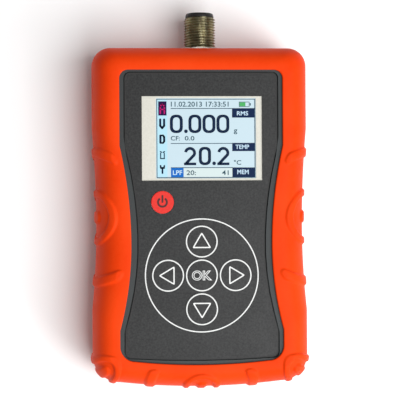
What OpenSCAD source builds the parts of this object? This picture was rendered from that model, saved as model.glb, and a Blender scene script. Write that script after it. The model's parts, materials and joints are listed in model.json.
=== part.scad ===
// Handheld vibration meter: two-part case in a rubber boot, colour display, six-key membrane keypad,
// battery bay with a sliding door, and a threaded sensor connector at the top.
// It lies on its back: X is to the right, Y towards the connector, Z out of the display.

/* [Rubber boot] */
// Width of the boot across its straight stretches
boot_width = 81.2; // [78:0.2:86]
// Length of the boot along its middle
boot_length = 127.6; // [124:0.2:134]
// Thickness of the side walls
boot_wall = 3; // [2.6:0.1:3.4]
// Thickness of the back wall
boot_back = 1.85; // [1.6:0.05:2.4]
// Height of the front lip over the case
boot_lip = 1.25; // [1:0.05:1.6]
// Clearance between the boot and the case
boot_gap = 0.15; // [0.1:0.05:0.3]
// How far each side draws in at the waist
waist_cut = 1.6; // [1:0.1:2.5]
// Width of the front border, from the side to the front opening
front_border = 10.5; // [9.5:0.1:11.5]
// Radius of the boot's upper corners
top_corner = 7; // [6:0.5:9]
// Radius of the boot's lower corners
bottom_corner = 10; // [8:0.5:12]
// Rounding of the back edge
back_round = 6; // [4:0.5:8]
// Height at which the front rounding starts
front_start = 16; // [14:0.5:18]
// Bulge of the lower end at its middle
bottom_bulge = 3.2; // [2:0.1:4]
// Height of the grip ridges
ridge_height = 0.85; // [0.5:0.05:1.2]

/* [Case] */
// Wall thickness of both case shells
case_wall = 2; // [1.6:0.1:2.4]
// Depth of the front shell, from the joint to its front face
cover_depth = 8.6; // [8:0.1:9.2]
// Thickness of the front shell's floor under the keypad
cover_floor = 1.85; // [1.5:0.05:2.2]
// Room between the battery bay and the main board, for the headers under the board
board_gap = 5.8; // [5.8:0.1:7.8]
// Radius of the screw pillars
pillar_r = 4; // [3.6:0.1:4.2]

/* [Keypad and overlay] */
// Width from the boot's side to the overlay
overlay_border = 12.4; // [12.1:0.1:12.6]
// How far the overlay draws in at the waist
overlay_cut = 4.9; // [4:0.1:5.5]
// Thickness of the overlay
overlay_t = 0.35; // [0.25:0.05:0.45]
// Thickness of the dome spacer
spacer_t = 0.6; // [0.55:0.05:0.8]
// Thickness of the keypad circuit
circuit_t = 0.25; // [0.2:0.05:0.35]
// Distance between neighbouring keys, as a share of the overlay's half width
pitch_share = 0.4415; // [0.44:0.0005:0.455]
// Radius of an arrow key or the middle key, as a share of that distance
key_share = 0.473; // [0.43:0.001:0.474]
// Radius of the power key, as a share of that distance
power_share = 0.337; // [0.3:0.001:0.36]
// Place of the middle key below the middle of the boot, as a share of half its length
keypad_share = 0.3386; // [0.33:0.001:0.35]
// Thickness of a key
key_t = 0.6; // [0.5:0.05:0.7]

/* [Display] */
// Width of the overlay beside the window
window_side = 6; // [5.8:0.05:6.4]
// Height of the window, as a share of half the boot's length
window_share = 0.488; // [0.484:0.001:0.496]
// Place of the window above the middle of the boot, as a share of half its length
window_place_share = 0.453; // [0.447:0.001:0.459]
// Thickness of the display panel
panel_t = 2.2; // [1.8:0.1:2.6]
// Room between the board and the front shell's floor
board_room = 3.8; // [3.5:0.1:4.2]
// Thickness of the main board
board_t = 1.6; // [1.2:0.1:1.6]

/* [Batteries] */
// Radius of a cell
cell_r = 7.1; // [6.8:0.1:7.25]
// Length of a cell with its button
cell_l = 50.5; // [49:0.5:51]
// Length that the bay leaves for a battery's spring
spring_room = 5.7; // [5:0.1:7.5]
// Distance from the boot's lower end to the bay
bay_start = 19.8; // [19.5:0.1:22]
// Travel of the battery door
door_travel = 5; // [3:0.5:5]

/* [Sensor connector] */
// How far the connector stands above the boot
connector_reach = 13.8; // [12:0.2:16]
// Outer radius of the thread
thread_r = 6; // [5.9:0.1:6.1]
// Pitch of the thread
thread_pitch = 1; // [0.75:0.25:1.25]
// Radius of the socket inside the connector
socket_r = 4.25; // [4:0.05:4.4]
// Depth of the socket
socket_depth = 8.5; // [7.5:0.5:9]
// Distance of a contact pin from the connector's axis
pin_circle_r = 2.6; // [2.5:0.05:2.7]
// Radius of a contact pin
pin_r = 0.5; // [0.4:0.05:0.5]
// Distance of the connector's axis to the right of the middle
connector_x = 0.7; // [0:0.1:1]
// Height of the connector's axis over the plane the boot rests on
connector_z = 15; // [14.5:0.5:16]
// Thickness of the fixing nut
nut_t = 2.8; // [2.5:0.1:3.2]
// Width of the fixing nut across its flats
nut_flats = 14; // [14:0.1:14.6]

/* [Hidden] */

// Overrun of every cut, the usual clearances, and how finely curves are drawn
cut = 1;
fit = 0.1;
slack = 0.3;
touch = 0.02;
round_fn = 64;
ridge_fn = 40;
side_steps = 14;
corner_steps = 5;
end_steps = 4;
rise_steps = 8;
back_steps = 4;

// Outline of the housing: where the waist lies, and what the front opening's outline becomes
boot_half = boot_width / 2;
boot_top = boot_length / 2;
waist_y = -10.2;
waist_up = 36.4;
waist_down = 31.5;
waist_lift = 7;
opening_cut = 4.2;
opening_bulge = 2.1;
opening_top_margin = 9.6;
opening_bottom_margin = 9.4;
opening_top_corner = 3.2;
opening_bottom_corner = 5.5;
squareness = 2.7;
lip_land = 0.5;

// Outline of the opening in the boot's back
back_border = 18.6;
back_opening_x = boot_half - back_border;
back_top_margin = 13.8;
back_low_margin = 8.8;
back_opening_top = boot_top - back_top_margin;
back_opening_bottom = boot_top - back_low_margin;
back_opening_corner = 6;

// Ridge patterns: half width of the raised disc, then inner and outer radius of each raised ring
side_rings = [2.5, 7.4, 10.5, 22.1, 26.1];
end_rings = [1.9, 4.3, 6.9, 17.2, 21.2];
corner_rings = [2.2, 4.3, 7.7];
ring_spread = 7;
ridge_margin = 1;
ridge_turn = 3;

// Heights over the plane that the boot rests on, built up from the back through the cells
bay_wall = 1.4;
groove_depth = 0.15;
case_back = boot_back + boot_gap;
floor_z = case_back + case_wall;
cell_z = floor_z + slack + cell_r;
bay_ceiling = cell_z + cell_r + slack;
board_z = bay_ceiling + bay_wall + board_gap;
board_top = board_z + board_t;
ceiling_z = board_top + board_room;
circuit_z = ceiling_z + cover_floor;
spacer_z = circuit_z + circuit_t;
overlay_z = spacer_z + spacer_t;
case_front = overlay_z + overlay_t + groove_depth;
split_z = case_front - cover_depth;
boot_depth = case_front + boot_gap + boot_lip;

// Case outline, and its roundings
case_inset = boot_wall + boot_gap;
case_back_round = 5;
case_margin = 6;

// Overlay outline
overlay_half = boot_half - overlay_border;
overlay_top_margin = 10.7;
overlay_bottom_margin = 11.2;
overlay_bulge = 1;
overlay_corner = 2.2;
overlay_groove = 0.4;
film_inset = 0.3;

// Case joint: seal, pillars and screws
seal_w = 0.9;
seal_t = 0.75;
screw_side = 11.1;
screw_end = 13.8;
screw_x = boot_half - screw_side;
screw_y = boot_top - screw_end;
pilot_r = 1.25;
screw_r = 1.2;
screw_hole_r = 1.7;
screw_head_r = 2.9;
screw_head_t = 2;
head_hole_r = 3.2;
head_seat_z = 12;
screw_reach = 4.2;
drive_r = 1.2;
drive_depth = 1.2;
hex_sides = 6;

// Keypad
key_pitch = overlay_half * pitch_share;
key_r = key_pitch * key_share;
power_r = key_pitch * power_share;
keypad_y = boot_top * keypad_share;
power_place_share = [-0.511, 0.0846];
power_x = overlay_half * power_place_share[0];
power_y = boot_top * power_place_share[1];
key_gap = 0.1;
key_hole_gap = 0.15;
key_chamfer = 0.15;
nub_r = 1.5;
nub_l = 0.15;
dome_gap = 0.05;
dome_h = spacer_t - nub_l - dome_gap;
dome_edge = 1.4;
dome_top_share = 0.6;
dome_t = 0.1;
tail_w = 10;
tail_end = 16.8;
tail_y = boot_top - tail_end;
tail_slot_w = 0.9;

// Display
window_w = 2 * (overlay_half - window_side);
window_l = boot_top * window_share;
window_x = 0.35;
window_y = boot_top * window_place_share;
pane_seat = 1.2;
panel_cover = 1.55;
panel_gap = 0.1;
panel_w = window_w - 2 * panel_cover;
panel_l = window_l + 2 * panel_gap;
panel_x = 2;
panel_y = window_y;
tray_wall_x = 1.5;
tray_wall_y = 2;
tray_floor = 1;
backlight_t = ceiling_z - board_top + cover_floor - panel_gap - panel_t - tray_floor;
flex_w = 12;
flex_reach = 3.6;
flex_drop = 0.3;

// Main board
board_side = 9.6;
board_half = boot_half - board_side;
board_shoulder = 19.8;
board_side_y = boot_top - board_shoulder;
board_step = 7;
board_end_half = board_half - board_step;
board_top_margin = 9.8;
board_low_margin = 7.8;
board_end_top = boot_top - board_top_margin;
board_end_bottom = boot_top - board_low_margin;
post_r = 2.6;
post_side = 13;
post_end = 25.8;
post_x = boot_half - post_side;
post_y = boot_top - post_end;
post_pilot_r = 0.95;
board_screw_r = 0.9;
board_hole_r = 1.15;
board_screw_head_r = 1.9;
board_screw_head_t = 1.3;
board_screw_reach = 2.6;
socket_w = 14;
socket_l = 4;
socket_h = 1.6;
header_h = 4;
sensor_header_w = 12;
sensor_header_l = 5;
sensor_header_end = 22.8;
sensor_header_y = boot_top - sensor_header_end;
battery_header_w = 7;
battery_header_l = 4;
battery_header_x = -14;
battery_header_reach = 10;
header_pitch = 2.5;
lead_places_share = [1.5, 0.5, -1.5, -0.5];

// Chips: middle across and along, width and length, all as shares of the board, and the height share
chip_shares = [
    [-0.30, -0.10, 0.32, 0.18, 0.60],
    [0.32, -0.12, 0.26, 0.12, 0.50],
    [0.30, -0.42, 0.20, 0.14, 0.70],
    [-0.32, -0.45, 0.24, 0.10, 0.45],
    [0.02, -0.30, 0.12, 0.06, 0.90],
    [-0.62, -0.66, 0.14, 0.10, 1.00],
    [0.62, -0.66, 0.14, 0.10, 1.00]];
chip_t = 2.4;

// Battery bay and door
plate_t = 0.4;
bay_l = cell_l + 2 * plate_t + spring_room;
bay_low_y = bay_start - boot_top;
bay_top_y = bay_low_y + bay_l;
battery_header_y = bay_top_y + battery_header_reach;
cell_gap = 0.9;
cell_x = cell_r + cell_gap / 2;
bay_half = cell_x + cell_r + slack;
button_r = 2.75;
button_l = 1;
cell_wrap = 0.3;
cell_cap_r = 5.6;
plate_w = 11;
plate_h = 11;
spring_wire_r = 0.4;
spring_r_low = 4;
spring_r_high = 2.6;
spring_turns = 4;
spring_turn_steps = 10;
spring_sides = 6;
door_edge = 1.6;
door_half = bay_half + bay_wall + door_edge;
door_lap = 1.1;
tab_w = 1.4;
tab_l = 4;
tab_t = 0.9;
tab_places_share = [0.12, 0.86];
grip_ribs = 5;
grip_pitch = 2;
grip_w = 16;
grip_depth = 0.5;
grip_land = 5;
shelf_t = 1.2;
shelf_lap = 1;
lead_hole_r = 0.95;
lead_r = 0.6;
lead_gap = 0.12;
lead_steps = 12;
lead_sides = 8;
lead_z = cell_z + cell_r / 2;

// Connector
pad_r = 8.6;
pad_proud = 0.1;
pad_in = 0.5;
boot_hole_gap = 0.4;
shank_r = 5.7;
shank_gap = 0.15;
washer_t = 0.6;
washer_r = 7.6;
flange_r = 8;
flange_t = 2;
tail_r = 6.4;
tail_l = 6;
lead_in_r = 5.2;
lead_in_l = 1.5;
thread_start = 0.2;
thread_depth_share = 0.613;
crest_share = 0.125;
root_share = 0.25;
seal_wire_r = 0.6;
seal_mid_r = 6.9;
nut_chamfer = 0.6;
nut_gap = 0.05;
insert_gap = 0.05;
pin_count = 4;
pin_low = 2.5;
pin_high = 1.6;
key_rib_w = 0.9;
key_rib_t = 0.7;

// Places worked out from the outline
case_top_y = boot_top - opening_top_margin * case_inset / front_border;
case_in_y = boot_top - opening_top_margin * (case_inset + case_wall) / front_border;
seat_t = case_top_y - case_in_y + pad_proud + pad_in;
seat_y = case_top_y + pad_proud;
tip = boot_top + connector_reach - seat_y;
nut_top = washer_t + nut_t;
lowest_y = boot_length / 2 + ridge_height;
middle_y = (lowest_y - boot_top - connector_reach) / 2;

// Colours
boot_colour = [0.93, 0.29, 0.13];
case_colour = [0.20, 0.21, 0.23];
overlay_colour = [0.27, 0.27, 0.28];
red_key_colour = [0.85, 0.22, 0.22];
film_colour = [0.86, 0.87, 0.83];
white_colour = [0.93, 0.92, 0.87];
screen_colour = [0.80, 0.90, 0.97];
board_colour = [0.08, 0.35, 0.18];
chip_colour = [0.10, 0.10, 0.11];
steel_colour = [0.72, 0.73, 0.75];
nickel_colour = [0.62, 0.57, 0.45];
gold_colour = [0.83, 0.68, 0.32];
seal_colour = [0.10, 0.10, 0.10];
wire_colours = [[0.75, 0.10, 0.10], [0.10, 0.10, 0.10], [0.85, 0.85, 0.85], [0.15, 0.30, 0.75]];
cell_colour = [0.15, 0.32, 0.30];

// How much of the full waist cut is gone at a place along the side: none at the waist, all beyond it
function waist_rise(y) =
    let (s = y > waist_y ? (y - waist_y) / waist_up : (waist_y - y) / waist_down)
    pow(min(1, s), 2);

// An outline from the middle of its lower end, up the right side and back down the left one
function outline(half, draw_in, top, bottom, bulge, r_top, r_bottom, lift = 0) =
    let (
        x_low = half - r_bottom,
        y_low = bulge * pow(x_low / half, 2) - bottom + r_bottom,
        x_high = half - r_top,
        y_high = top - r_top,
        right = concat(
            [for (i = [0:end_steps - 1]) let (x = x_low * i / end_steps)
                [x, bulge * pow(x / half, 2) - bottom]],
            [for (i = [0:corner_steps]) let (a = 90 * i / corner_steps - 90)
                [x_low + r_bottom * cos(a), y_low + r_bottom * sin(a)]],
            [for (i = [1:side_steps - 1]) let (y = y_low + (y_high - y_low) * i / side_steps)
                [half - draw_in * (1 - waist_rise(y - lift)), y]],
            [for (i = [0:corner_steps]) let (a = 90 * i / corner_steps)
                [x_high + r_top * cos(a), y_high + r_top * sin(a)]],
            [[0, top]]))
    concat(right, [for (i = [len(right) - 2:-1:1]) [-right[i][0], right[i][1]]]);

// Outline of the housing at an inset from the boot's side: it turns into the front opening's outline
function housing_outline(inset) =
    let (s = inset / front_border)
    outline(boot_half - inset,
        waist_cut + (opening_cut - waist_cut) * s,
        boot_top - opening_top_margin * s,
        boot_top - opening_bottom_margin * s,
        bottom_bulge + (opening_bulge - bottom_bulge) * s,
        top_corner + (opening_top_corner - top_corner) * s,
        bottom_corner + (opening_bottom_corner - bottom_corner) * s,
        waist_lift * (1 - s));

// Outline of the overlay, grown all round
function overlay_outline(grow) =
    outline(overlay_half + grow, overlay_cut,
        boot_top - overlay_top_margin + grow,
        boot_top - overlay_bottom_margin + grow,
        overlay_bulge, overlay_corner, overlay_corner);

// A skin's profile is [inset of its sides, lowest height, back rounding, highest height, front border]
boot_profile = [0, 0, back_round, boot_depth, front_border - lip_land];
cavity_profile = [boot_wall, boot_back, case_back_round, case_front + boot_gap, case_margin];
case_profile = [case_inset, case_back, case_back_round, case_front, case_margin];

function arc_fall(s, power) = 1 - pow(max(0, 1 - pow(s, power)), 1 / power);

// Inset of a skin at a height
function skin_inset(profile, z) =
    let (
        low = profile[1] + profile[2],
        back = z < low ? profile[2] * arc_fall((low - z) / profile[2], 2) : 0,
        rise = (z - front_start) / (profile[3] - front_start),
        front = rise > 0 ? profile[4] * arc_fall(min(1, rise), squareness) : 0)
    profile[0] + back + front;

// Heights of a skin's levels, with the case joint among them
function skin_heights(profile) =
    let (
        power = 2 / squareness,
        front = [for (i = [0:rise_steps]) let (a = 90 * i / rise_steps)
            front_start + (profile[3] - front_start) * pow(sin(a), power)])
    concat(
        [for (i = [0:back_steps]) let (a = 90 * i / back_steps)
            profile[1] + profile[2] * (1 - cos(a))],
        [for (z = front) if (z < split_z) z],
        [split_z],
        [for (z = front) if (z > split_z) z]);

// Levels of a skin between two heights, grown inwards by a wall
function skin_levels(profile, low, high, wall) = concat(
    [[low, skin_inset(profile, low) + wall]],
    [for (z = skin_heights(profile)) if (z > low && z < high) [z, skin_inset(profile, z) + wall]],
    [[high, skin_inset(profile, high) + wall]]);

// A closed skin through the housing's outline at each level
module skin(levels) {
    rings = [for (level = levels) [for (p = housing_outline(level[1])) [p[0], p[1], level[0]]]];
    n = len(rings[0]);
    m = len(rings);
    points = [for (ring = rings) each ring];
    sides = [for (i = [0:m - 2], j = [0:n - 1])
        let (a = i * n + j, b = i * n + (j + 1) % n)
        each [[a, a + n, b + n], [a, b + n, b]]];
    ends = [[for (j = [0:n - 1]) j], [for (j = [n - 1:-1:0]) (m - 1) * n + j]];
    polyhedron(points, concat(sides, ends));
}

module prism(points, z, h) {
    translate([0, 0, z])
        linear_extrude(h)
            polygon(points);
}

// A box given by its middle across and along, its lowest height and its three sizes
module block(x, y, z, w, l, h) {
    translate([x - w / 2, y - l / 2, z])
        cube([w, l, h]);
}

module post(x, y, z, r, h) {
    translate([x, y, z])
        cylinder(r = r, h = h, $fn = round_fn);
}

module four_posts(x, y, z, r, h) {
    for (sx = [-1, 1], sy = [-1, 1])
        post(sx * x, sy * y, z, r, h);
}

// One outline of a ridge pattern: a circle drawn out in the depth of the boot
module ring_outline(r) {
    hull()
        for (side = [-1, 1])
            translate([side * ring_spread, 0, 0])
                rotate([0, 0, ridge_turn])
                    cylinder(r = r, h = boot_length, $fn = ridge_fn);
}

module ring_pattern(radii) {
    ring_outline(radii[0]);
    for (i = [1:2:len(radii) - 1])
        difference() {
            ring_outline(radii[i + 1]);
            translate([0, 0, -cut])
                scale([1, 1, 1 + 2 * cut / boot_length])
                    ring_outline(radii[i]);
        }
}

// A pattern raised on the boot in one direction: the boot's own skin, moved out, within the rings
module ridges(x, y, angle, radii) {
    intersection() {
        translate([ridge_height * cos(angle), ridge_height * sin(angle), 0])
            skin(skin_levels(boot_profile, ridge_margin, boot_depth - ridge_margin, 0));
        translate([x, y, boot_depth / 2])
            rotate([0, 0, angle])
                rotate([0, 90, 0])
                    ring_pattern(radii);
    }
}

module rubber_boot() {
    corner_x = boot_half - bottom_corner;
    corner_y = bottom_bulge * pow(corner_x / boot_half, 2) + bottom_corner - boot_top;
    color(boot_colour)
        difference() {
            union() {
                skin(skin_levels(boot_profile, 0, boot_depth, 0));
                for (angle = [0, 180])
                    ridges(0, 0, angle, side_rings);
                ridges(0, 0, -90, end_rings);
                ridges(corner_x, corner_y, -45, corner_rings);
                ridges(-corner_x, corner_y, -135, corner_rings);
            }
            skin(skin_levels(cavity_profile, boot_back, case_front + boot_gap, 0));
            prism(housing_outline(front_border), case_front, boot_depth);
            prism(outline(back_opening_x, 0, back_opening_top, back_opening_bottom, 0,
                back_opening_corner, back_opening_corner), -cut, boot_back + 2 * cut);
            at_connector()
                translate([0, 0, -case_wall])
                    cylinder(r = pad_r + boot_hole_gap, h = tip, $fn = round_fn);
        }
}

module front_case() {
    color(case_colour)
        difference() {
            union() {
                difference() {
                    skin(skin_levels(case_profile, split_z, case_front, 0));
                    front_hollow();
                }
                four_posts(screw_x, screw_y, split_z, pillar_r, ceiling_z - split_z + fit);
                four_posts(post_x, post_y, board_top, post_r, ceiling_z - board_top + fit);
            }
            prism(overlay_outline(overlay_groove), circuit_z, boot_depth - circuit_z);
            block(panel_x, panel_y, ceiling_z - cut, panel_w + 2 * slack, panel_l + 2 * slack,
                cover_floor + 2 * cut);
            block(0, -tail_y, ceiling_z - cut, tail_w + 2 * slack, tail_slot_w, cover_floor + 2 * cut);
            four_posts(screw_x, screw_y, split_z - cut, pilot_r, screw_reach + fit + cut);
            four_posts(post_x, post_y, board_top - cut, post_pilot_r, board_screw_reach + fit + cut);
        }
}

// The front shell's hollow, open at the case joint
module front_hollow() {
    difference() {
        skin(skin_levels(case_profile, split_z - cut, ceiling_z, case_wall));
        block(0, 0, split_z - 2 * cut, boot_width, boot_length, cut);
    }
}

module rear_case() {
    color(case_colour)
        difference() {
            union() {
                difference() {
                    skin(skin_levels(case_profile, case_back, split_z, 0));
                    skin(skin_levels(case_profile, floor_z, split_z + cut, case_wall));
                }
                four_posts(screw_x, screw_y, floor_z - fit, pillar_r, split_z - floor_z + fit);
                block(0, bay_low_y + bay_l / 2, floor_z - fit, 2 * (bay_half + bay_wall),
                    bay_l + 2 * bay_wall, bay_ceiling + bay_wall - floor_z + fit);
                slide_shelf();
                at_connector()
                    translate([0, 0, -seat_t])
                        cylinder(r = pad_r, h = seat_t, $fn = round_fn);
            }
            bay_inside();
            door_opening();
            seal_ring(seal_w + 2 * touch, seal_t + touch);
            four_posts(screw_x, screw_y, head_seat_z, screw_hole_r, split_z);
            four_posts(screw_x, screw_y, 0, head_hole_r, head_seat_z);
            for (side = [-1, 1])
                translate([side * cell_x, bay_top_y - cut, lead_z])
                    rotate([-90, 0, 0])
                        cylinder(r = lead_hole_r, h = bay_wall + 2 * cut, $fn = round_fn);
            at_connector()
                translate([0, 0, -seat_t - cut])
                    cylinder(r = shank_r + shank_gap, h = seat_t + 2 * cut, $fn = round_fn);
        }
}

module bay_inside() {
    block(0, bay_low_y + bay_l / 2, case_back - cut, 2 * bay_half, bay_l, bay_ceiling - case_back + cut);
}

// The floor of the recess that the door slides into
module slide_shelf() {
    reach = door_travel + door_lap + slack + shelf_lap;
    block(0, bay_low_y - bay_wall - reach / 2, floor_z - fit,
        2 * (door_half + tab_w + slack), reach + fit, shelf_t + fit);
}

// The opening in the back, with notches that let the door's tabs out once it has slid down
module door_opening() {
    low = bay_low_y - door_lap - door_travel - slack;
    high = bay_top_y + door_lap + fit;
    block(0, (low + high) / 2, case_back - cut, 2 * (door_half + fit), high - low, case_wall + cut);
    for (share = tab_places_share)
        block(0, bay_low_y + bay_l * share - door_travel, case_back - cut,
            2 * (door_half + tab_w + slack), tab_l + 2 * slack, case_wall + cut);
}

module battery_door() {
    length = bay_l + 2 * door_lap;
    color(case_colour) {
        difference() {
            block(0, bay_low_y + bay_l / 2, case_back, 2 * door_half, length, case_wall - fit);
            for (i = [0:grip_ribs - 1])
                block(0, bay_low_y + grip_land + i * grip_pitch, case_back - cut,
                    grip_w, grip_pitch / 2, grip_depth + cut);
        }
        for (side = [-1, 1], share = tab_places_share)
            door_tab(side, bay_low_y + bay_l * share);
    }
}

// A tab that reaches behind the case wall
module door_tab(side, y) {
    arm = door_edge - fit;
    block(side * (door_half - arm / 2), y, case_back + case_wall - 2 * fit, arm, tab_l, tab_t + 2 * fit);
    block(side * (door_half - arm / 2 + tab_w / 2), y, floor_z + fit, arm + tab_w, tab_l, tab_t - fit);
}

// A ring in the joint's rim, along the middle of the wall
module seal_ring(w, t) {
    inset = skin_inset(case_profile, split_z) + case_wall / 2;
    translate([0, 0, split_z - t])
        linear_extrude(t)
            difference() {
                polygon(housing_outline(inset - w / 2));
                polygon(housing_outline(inset + w / 2));
            }
}

module case_seal() {
    color(seal_colour)
        seal_ring(seal_w, seal_t);
}

module screw(x, y, seat, shank_r, shank_l, head_r, head_t) {
    translate([x, y, seat])
        difference() {
            union() {
                cylinder(r = shank_r, h = shank_l, $fn = round_fn);
                translate([0, 0, -head_t])
                    cylinder(r = head_r, h = head_t, $fn = round_fn);
            }
            translate([0, 0, -head_t - cut])
                cylinder(r = head_r * drive_r / screw_head_r, h = head_t * drive_depth / screw_head_t + cut,
                    $fn = hex_sides);
        }
}

module case_screws() {
    color(steel_colour)
        for (sx = [-1, 1], sy = [-1, 1])
            screw(sx * screw_x, sy * screw_y, head_seat_z, screw_r,
                split_z + screw_reach - head_seat_z, screw_head_r, screw_head_t);
}

// Places of the six keys
places = [
    ["up", [0, key_pitch - keypad_y], key_r],
    ["left", [-key_pitch, -keypad_y], key_r],
    ["ok", [0, -keypad_y], key_r],
    ["right", [key_pitch, -keypad_y], key_r],
    ["down", [0, -key_pitch - keypad_y], key_r],
    ["power", [power_x, power_y], power_r]];

module key_holes(z, gap, h) {
    for (p = places)
        post(p[1][0], p[1][1], z - cut, p[2] + gap, h + 2 * cut);
}

module graphic_overlay() {
    color(overlay_colour)
        difference() {
            prism(overlay_outline(0), overlay_z, overlay_t);
            key_holes(overlay_z, key_gap, overlay_t);
            block(window_x, window_y, overlay_z - cut, window_w, window_l, overlay_t + 2 * cut);
        }
}

module pane_cut(z, h) {
    block(window_x, window_y, z - cut, window_w + 2 * (pane_seat + fit),
        window_l + 2 * (pane_seat + fit), h + 2 * cut);
}

module dome_spacer() {
    color(film_colour)
        difference() {
            prism(overlay_outline(-film_inset), spacer_z, spacer_t);
            key_holes(spacer_z, key_hole_gap, spacer_t);
            pane_cut(spacer_z, spacer_t);
        }
}

module keypad_circuit() {
    color(film_colour) {
        difference() {
            prism(overlay_outline(-film_inset), circuit_z, circuit_t);
            pane_cut(circuit_z, circuit_t);
        }
        block(0, -tail_y, board_top + socket_h, tail_w, circuit_t, circuit_z - board_top - socket_h + fit);
    }
}

module key(i) {
    r = places[i][2];
    color(places[i][0] == "power" ? red_key_colour : overlay_colour)
        translate([places[i][1][0], places[i][1][1], overlay_z])
            rotate_extrude($fn = round_fn)
                polygon([[0, -nub_l], [nub_r, -nub_l], [nub_r, 0], [r, 0],
                    [r, key_t - key_chamfer], [r - key_chamfer, key_t], [0, key_t]]);
}

module dome(i) {
    r = places[i][2] - dome_edge;
    top = r * dome_top_share;
    color(steel_colour)
        translate([places[i][1][0], places[i][1][1], spacer_z])
            rotate_extrude($fn = round_fn)
                polygon([[r, 0], [top, dome_h], [0, dome_h], [0, dome_h - dome_t],
                    [top - dome_t / 2, dome_h - dome_t], [r - 2 * dome_t, 0]]);
}

module display_window() {
    color(white_colour)
        block(window_x, window_y, circuit_z, window_w + 2 * pane_seat, window_l + 2 * pane_seat,
            circuit_t + spacer_t);
}

module display_panel() {
    color(screen_colour)
        block(panel_x, panel_y, circuit_z - panel_gap - panel_t, panel_w, panel_l, panel_t);
}

module backlight() {
    color(white_colour)
        block(panel_x, panel_y, board_top + tray_floor, panel_w, panel_l, backlight_t);
}

module display_tray() {
    color(chip_colour)
        difference() {
            block(panel_x, panel_y, board_top, panel_w + 2 * (slack + tray_wall_x),
                panel_l + 2 * (slack + tray_wall_y), board_room);
            block(panel_x, panel_y, board_top + tray_floor, panel_w + 2 * slack, panel_l + 2 * slack,
                board_room);
            block(panel_x, panel_y - panel_l / 2, board_top + tray_floor, flex_w + 2 * slack,
                panel_l / 2, board_room);
        }
}

// A ribbon from the backlight's lower end down to its socket on the board
module display_flex() {
    y = panel_y - panel_l / 2;
    z = board_top + tray_floor + backlight_t - flex_drop;
    color(gold_colour) {
        block(panel_x, y - flex_reach / 2, z - circuit_t, flex_w, flex_reach, circuit_t);
        block(panel_x, y - flex_reach + circuit_t / 2, board_top + socket_h, flex_w, circuit_t,
            z - board_top - socket_h);
    }
}

module main_board() {
    color(board_colour)
        difference() {
            union() {
                block(0, 0, board_z, 2 * board_half, 2 * board_side_y, board_t);
                block(0, (board_end_top - board_end_bottom) / 2, board_z, 2 * board_end_half,
                    board_end_top + board_end_bottom, board_t);
            }
            four_posts(post_x, post_y, board_z - cut, board_hole_r, board_t + 2 * cut);
        }
}

module board_chips() {
    color(chip_colour)
        for (c = chip_shares)
            block(c[0] * board_half, c[1] * board_end_bottom, board_top, c[2] * board_half,
                c[3] * board_end_bottom, c[4] * chip_t);
}

module board_sockets() {
    flex_y = panel_y - panel_l / 2 - flex_reach + circuit_t / 2;
    color(white_colour) {
        block(0, -tail_y, board_top, socket_w, socket_l, socket_h);
        block(panel_x, flex_y - socket_l / 2 + circuit_t, board_top, socket_w, socket_l, socket_h);
        block(0, sensor_header_y - sensor_header_l / 2, board_z - header_h, sensor_header_w,
            sensor_header_l, header_h);
        block(battery_header_x, battery_header_y + battery_header_l / 2, board_z - header_h, battery_header_w,
            battery_header_l, header_h);
    }
}

module board_screws() {
    color(steel_colour)
        for (sx = [-1, 1], sy = [-1, 1])
            screw(sx * post_x, sy * post_y, board_z, board_screw_r, board_t + board_screw_reach,
                board_screw_head_r, board_screw_head_t);
}

// The connector's own frame: its axis leaves the top of the case, and 0 is the case's outer seat
module at_connector() {
    translate([connector_x, seat_y, connector_z])
        rotate([-90, 0, 0])
            children();
}

// Half outline of the thread, from its first crest to its last: flat crests, flat roots, 60 degree flanks
function thread_outline(start, length) =
    let (
        count = floor(length / thread_pitch),
        root = thread_r - thread_depth_share * thread_pitch,
        crest = crest_share * thread_pitch / 2,
        flank = (1 - root_share) * thread_pitch / 2)
    [for (i = [0:count - 1]) let (z = start + (i + 1 / 2) * thread_pitch)
        each [[root, z - flank], [thread_r, z - crest], [thread_r, z + crest], [root, z + flank]]];

module connector_shell() {
    start = nut_top + thread_start;
    thread_end = tip - lead_in_l;
    color(nickel_colour)
        at_connector()
            difference() {
                rotate_extrude($fn = round_fn)
                    polygon(concat(
                        [[socket_r, -seat_t - flange_t - tail_l], [tail_r, -seat_t - flange_t - tail_l],
                            [tail_r, -seat_t - flange_t], [flange_r, -seat_t - flange_t],
                            [flange_r, -seat_t], [shank_r, -seat_t], [shank_r, start]],
                        thread_outline(start, thread_end - start),
                        [[lead_in_r, thread_end], [lead_in_r, tip], [socket_r, tip]]));
                translate([0, 0, -seat_t - seal_wire_r])
                    seal_groove();
            }
}

// A groove in the flange's seat that holds the sealing ring
module seal_groove() {
    rotate_extrude($fn = round_fn)
        translate([seal_mid_r, 0])
            square([2 * (seal_wire_r + fit), 2 * seal_wire_r + fit], center = true);
}

module connector_seal() {
    color(seal_colour)
        at_connector()
            translate([0, 0, -seat_t - seal_wire_r])
                rotate_extrude($fn = round_fn)
                    translate([seal_mid_r, 0])
                        circle(r = seal_wire_r - touch, $fn = round_fn);
}

module connector_insert() {
    low = -seat_t - flange_t - tail_l;
    color(chip_colour)
        at_connector()
            difference() {
                union() {
                    translate([0, 0, low])
                        cylinder(r = socket_r - insert_gap, h = tip - socket_depth - low, $fn = round_fn);
                    block(0, socket_r - key_rib_t / 2 - insert_gap - fit, low + tail_l,
                        key_rib_w, key_rib_t, tip - pin_high - low - tail_l);
                }
                for (i = [0:pin_count - 1])
                    rotate([0, 0, 360 * i / pin_count])
                        translate([pin_circle_r, 0, low - cut])
                            cylinder(r = pin_r + touch, h = tip - low, $fn = round_fn);
            }
}

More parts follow.
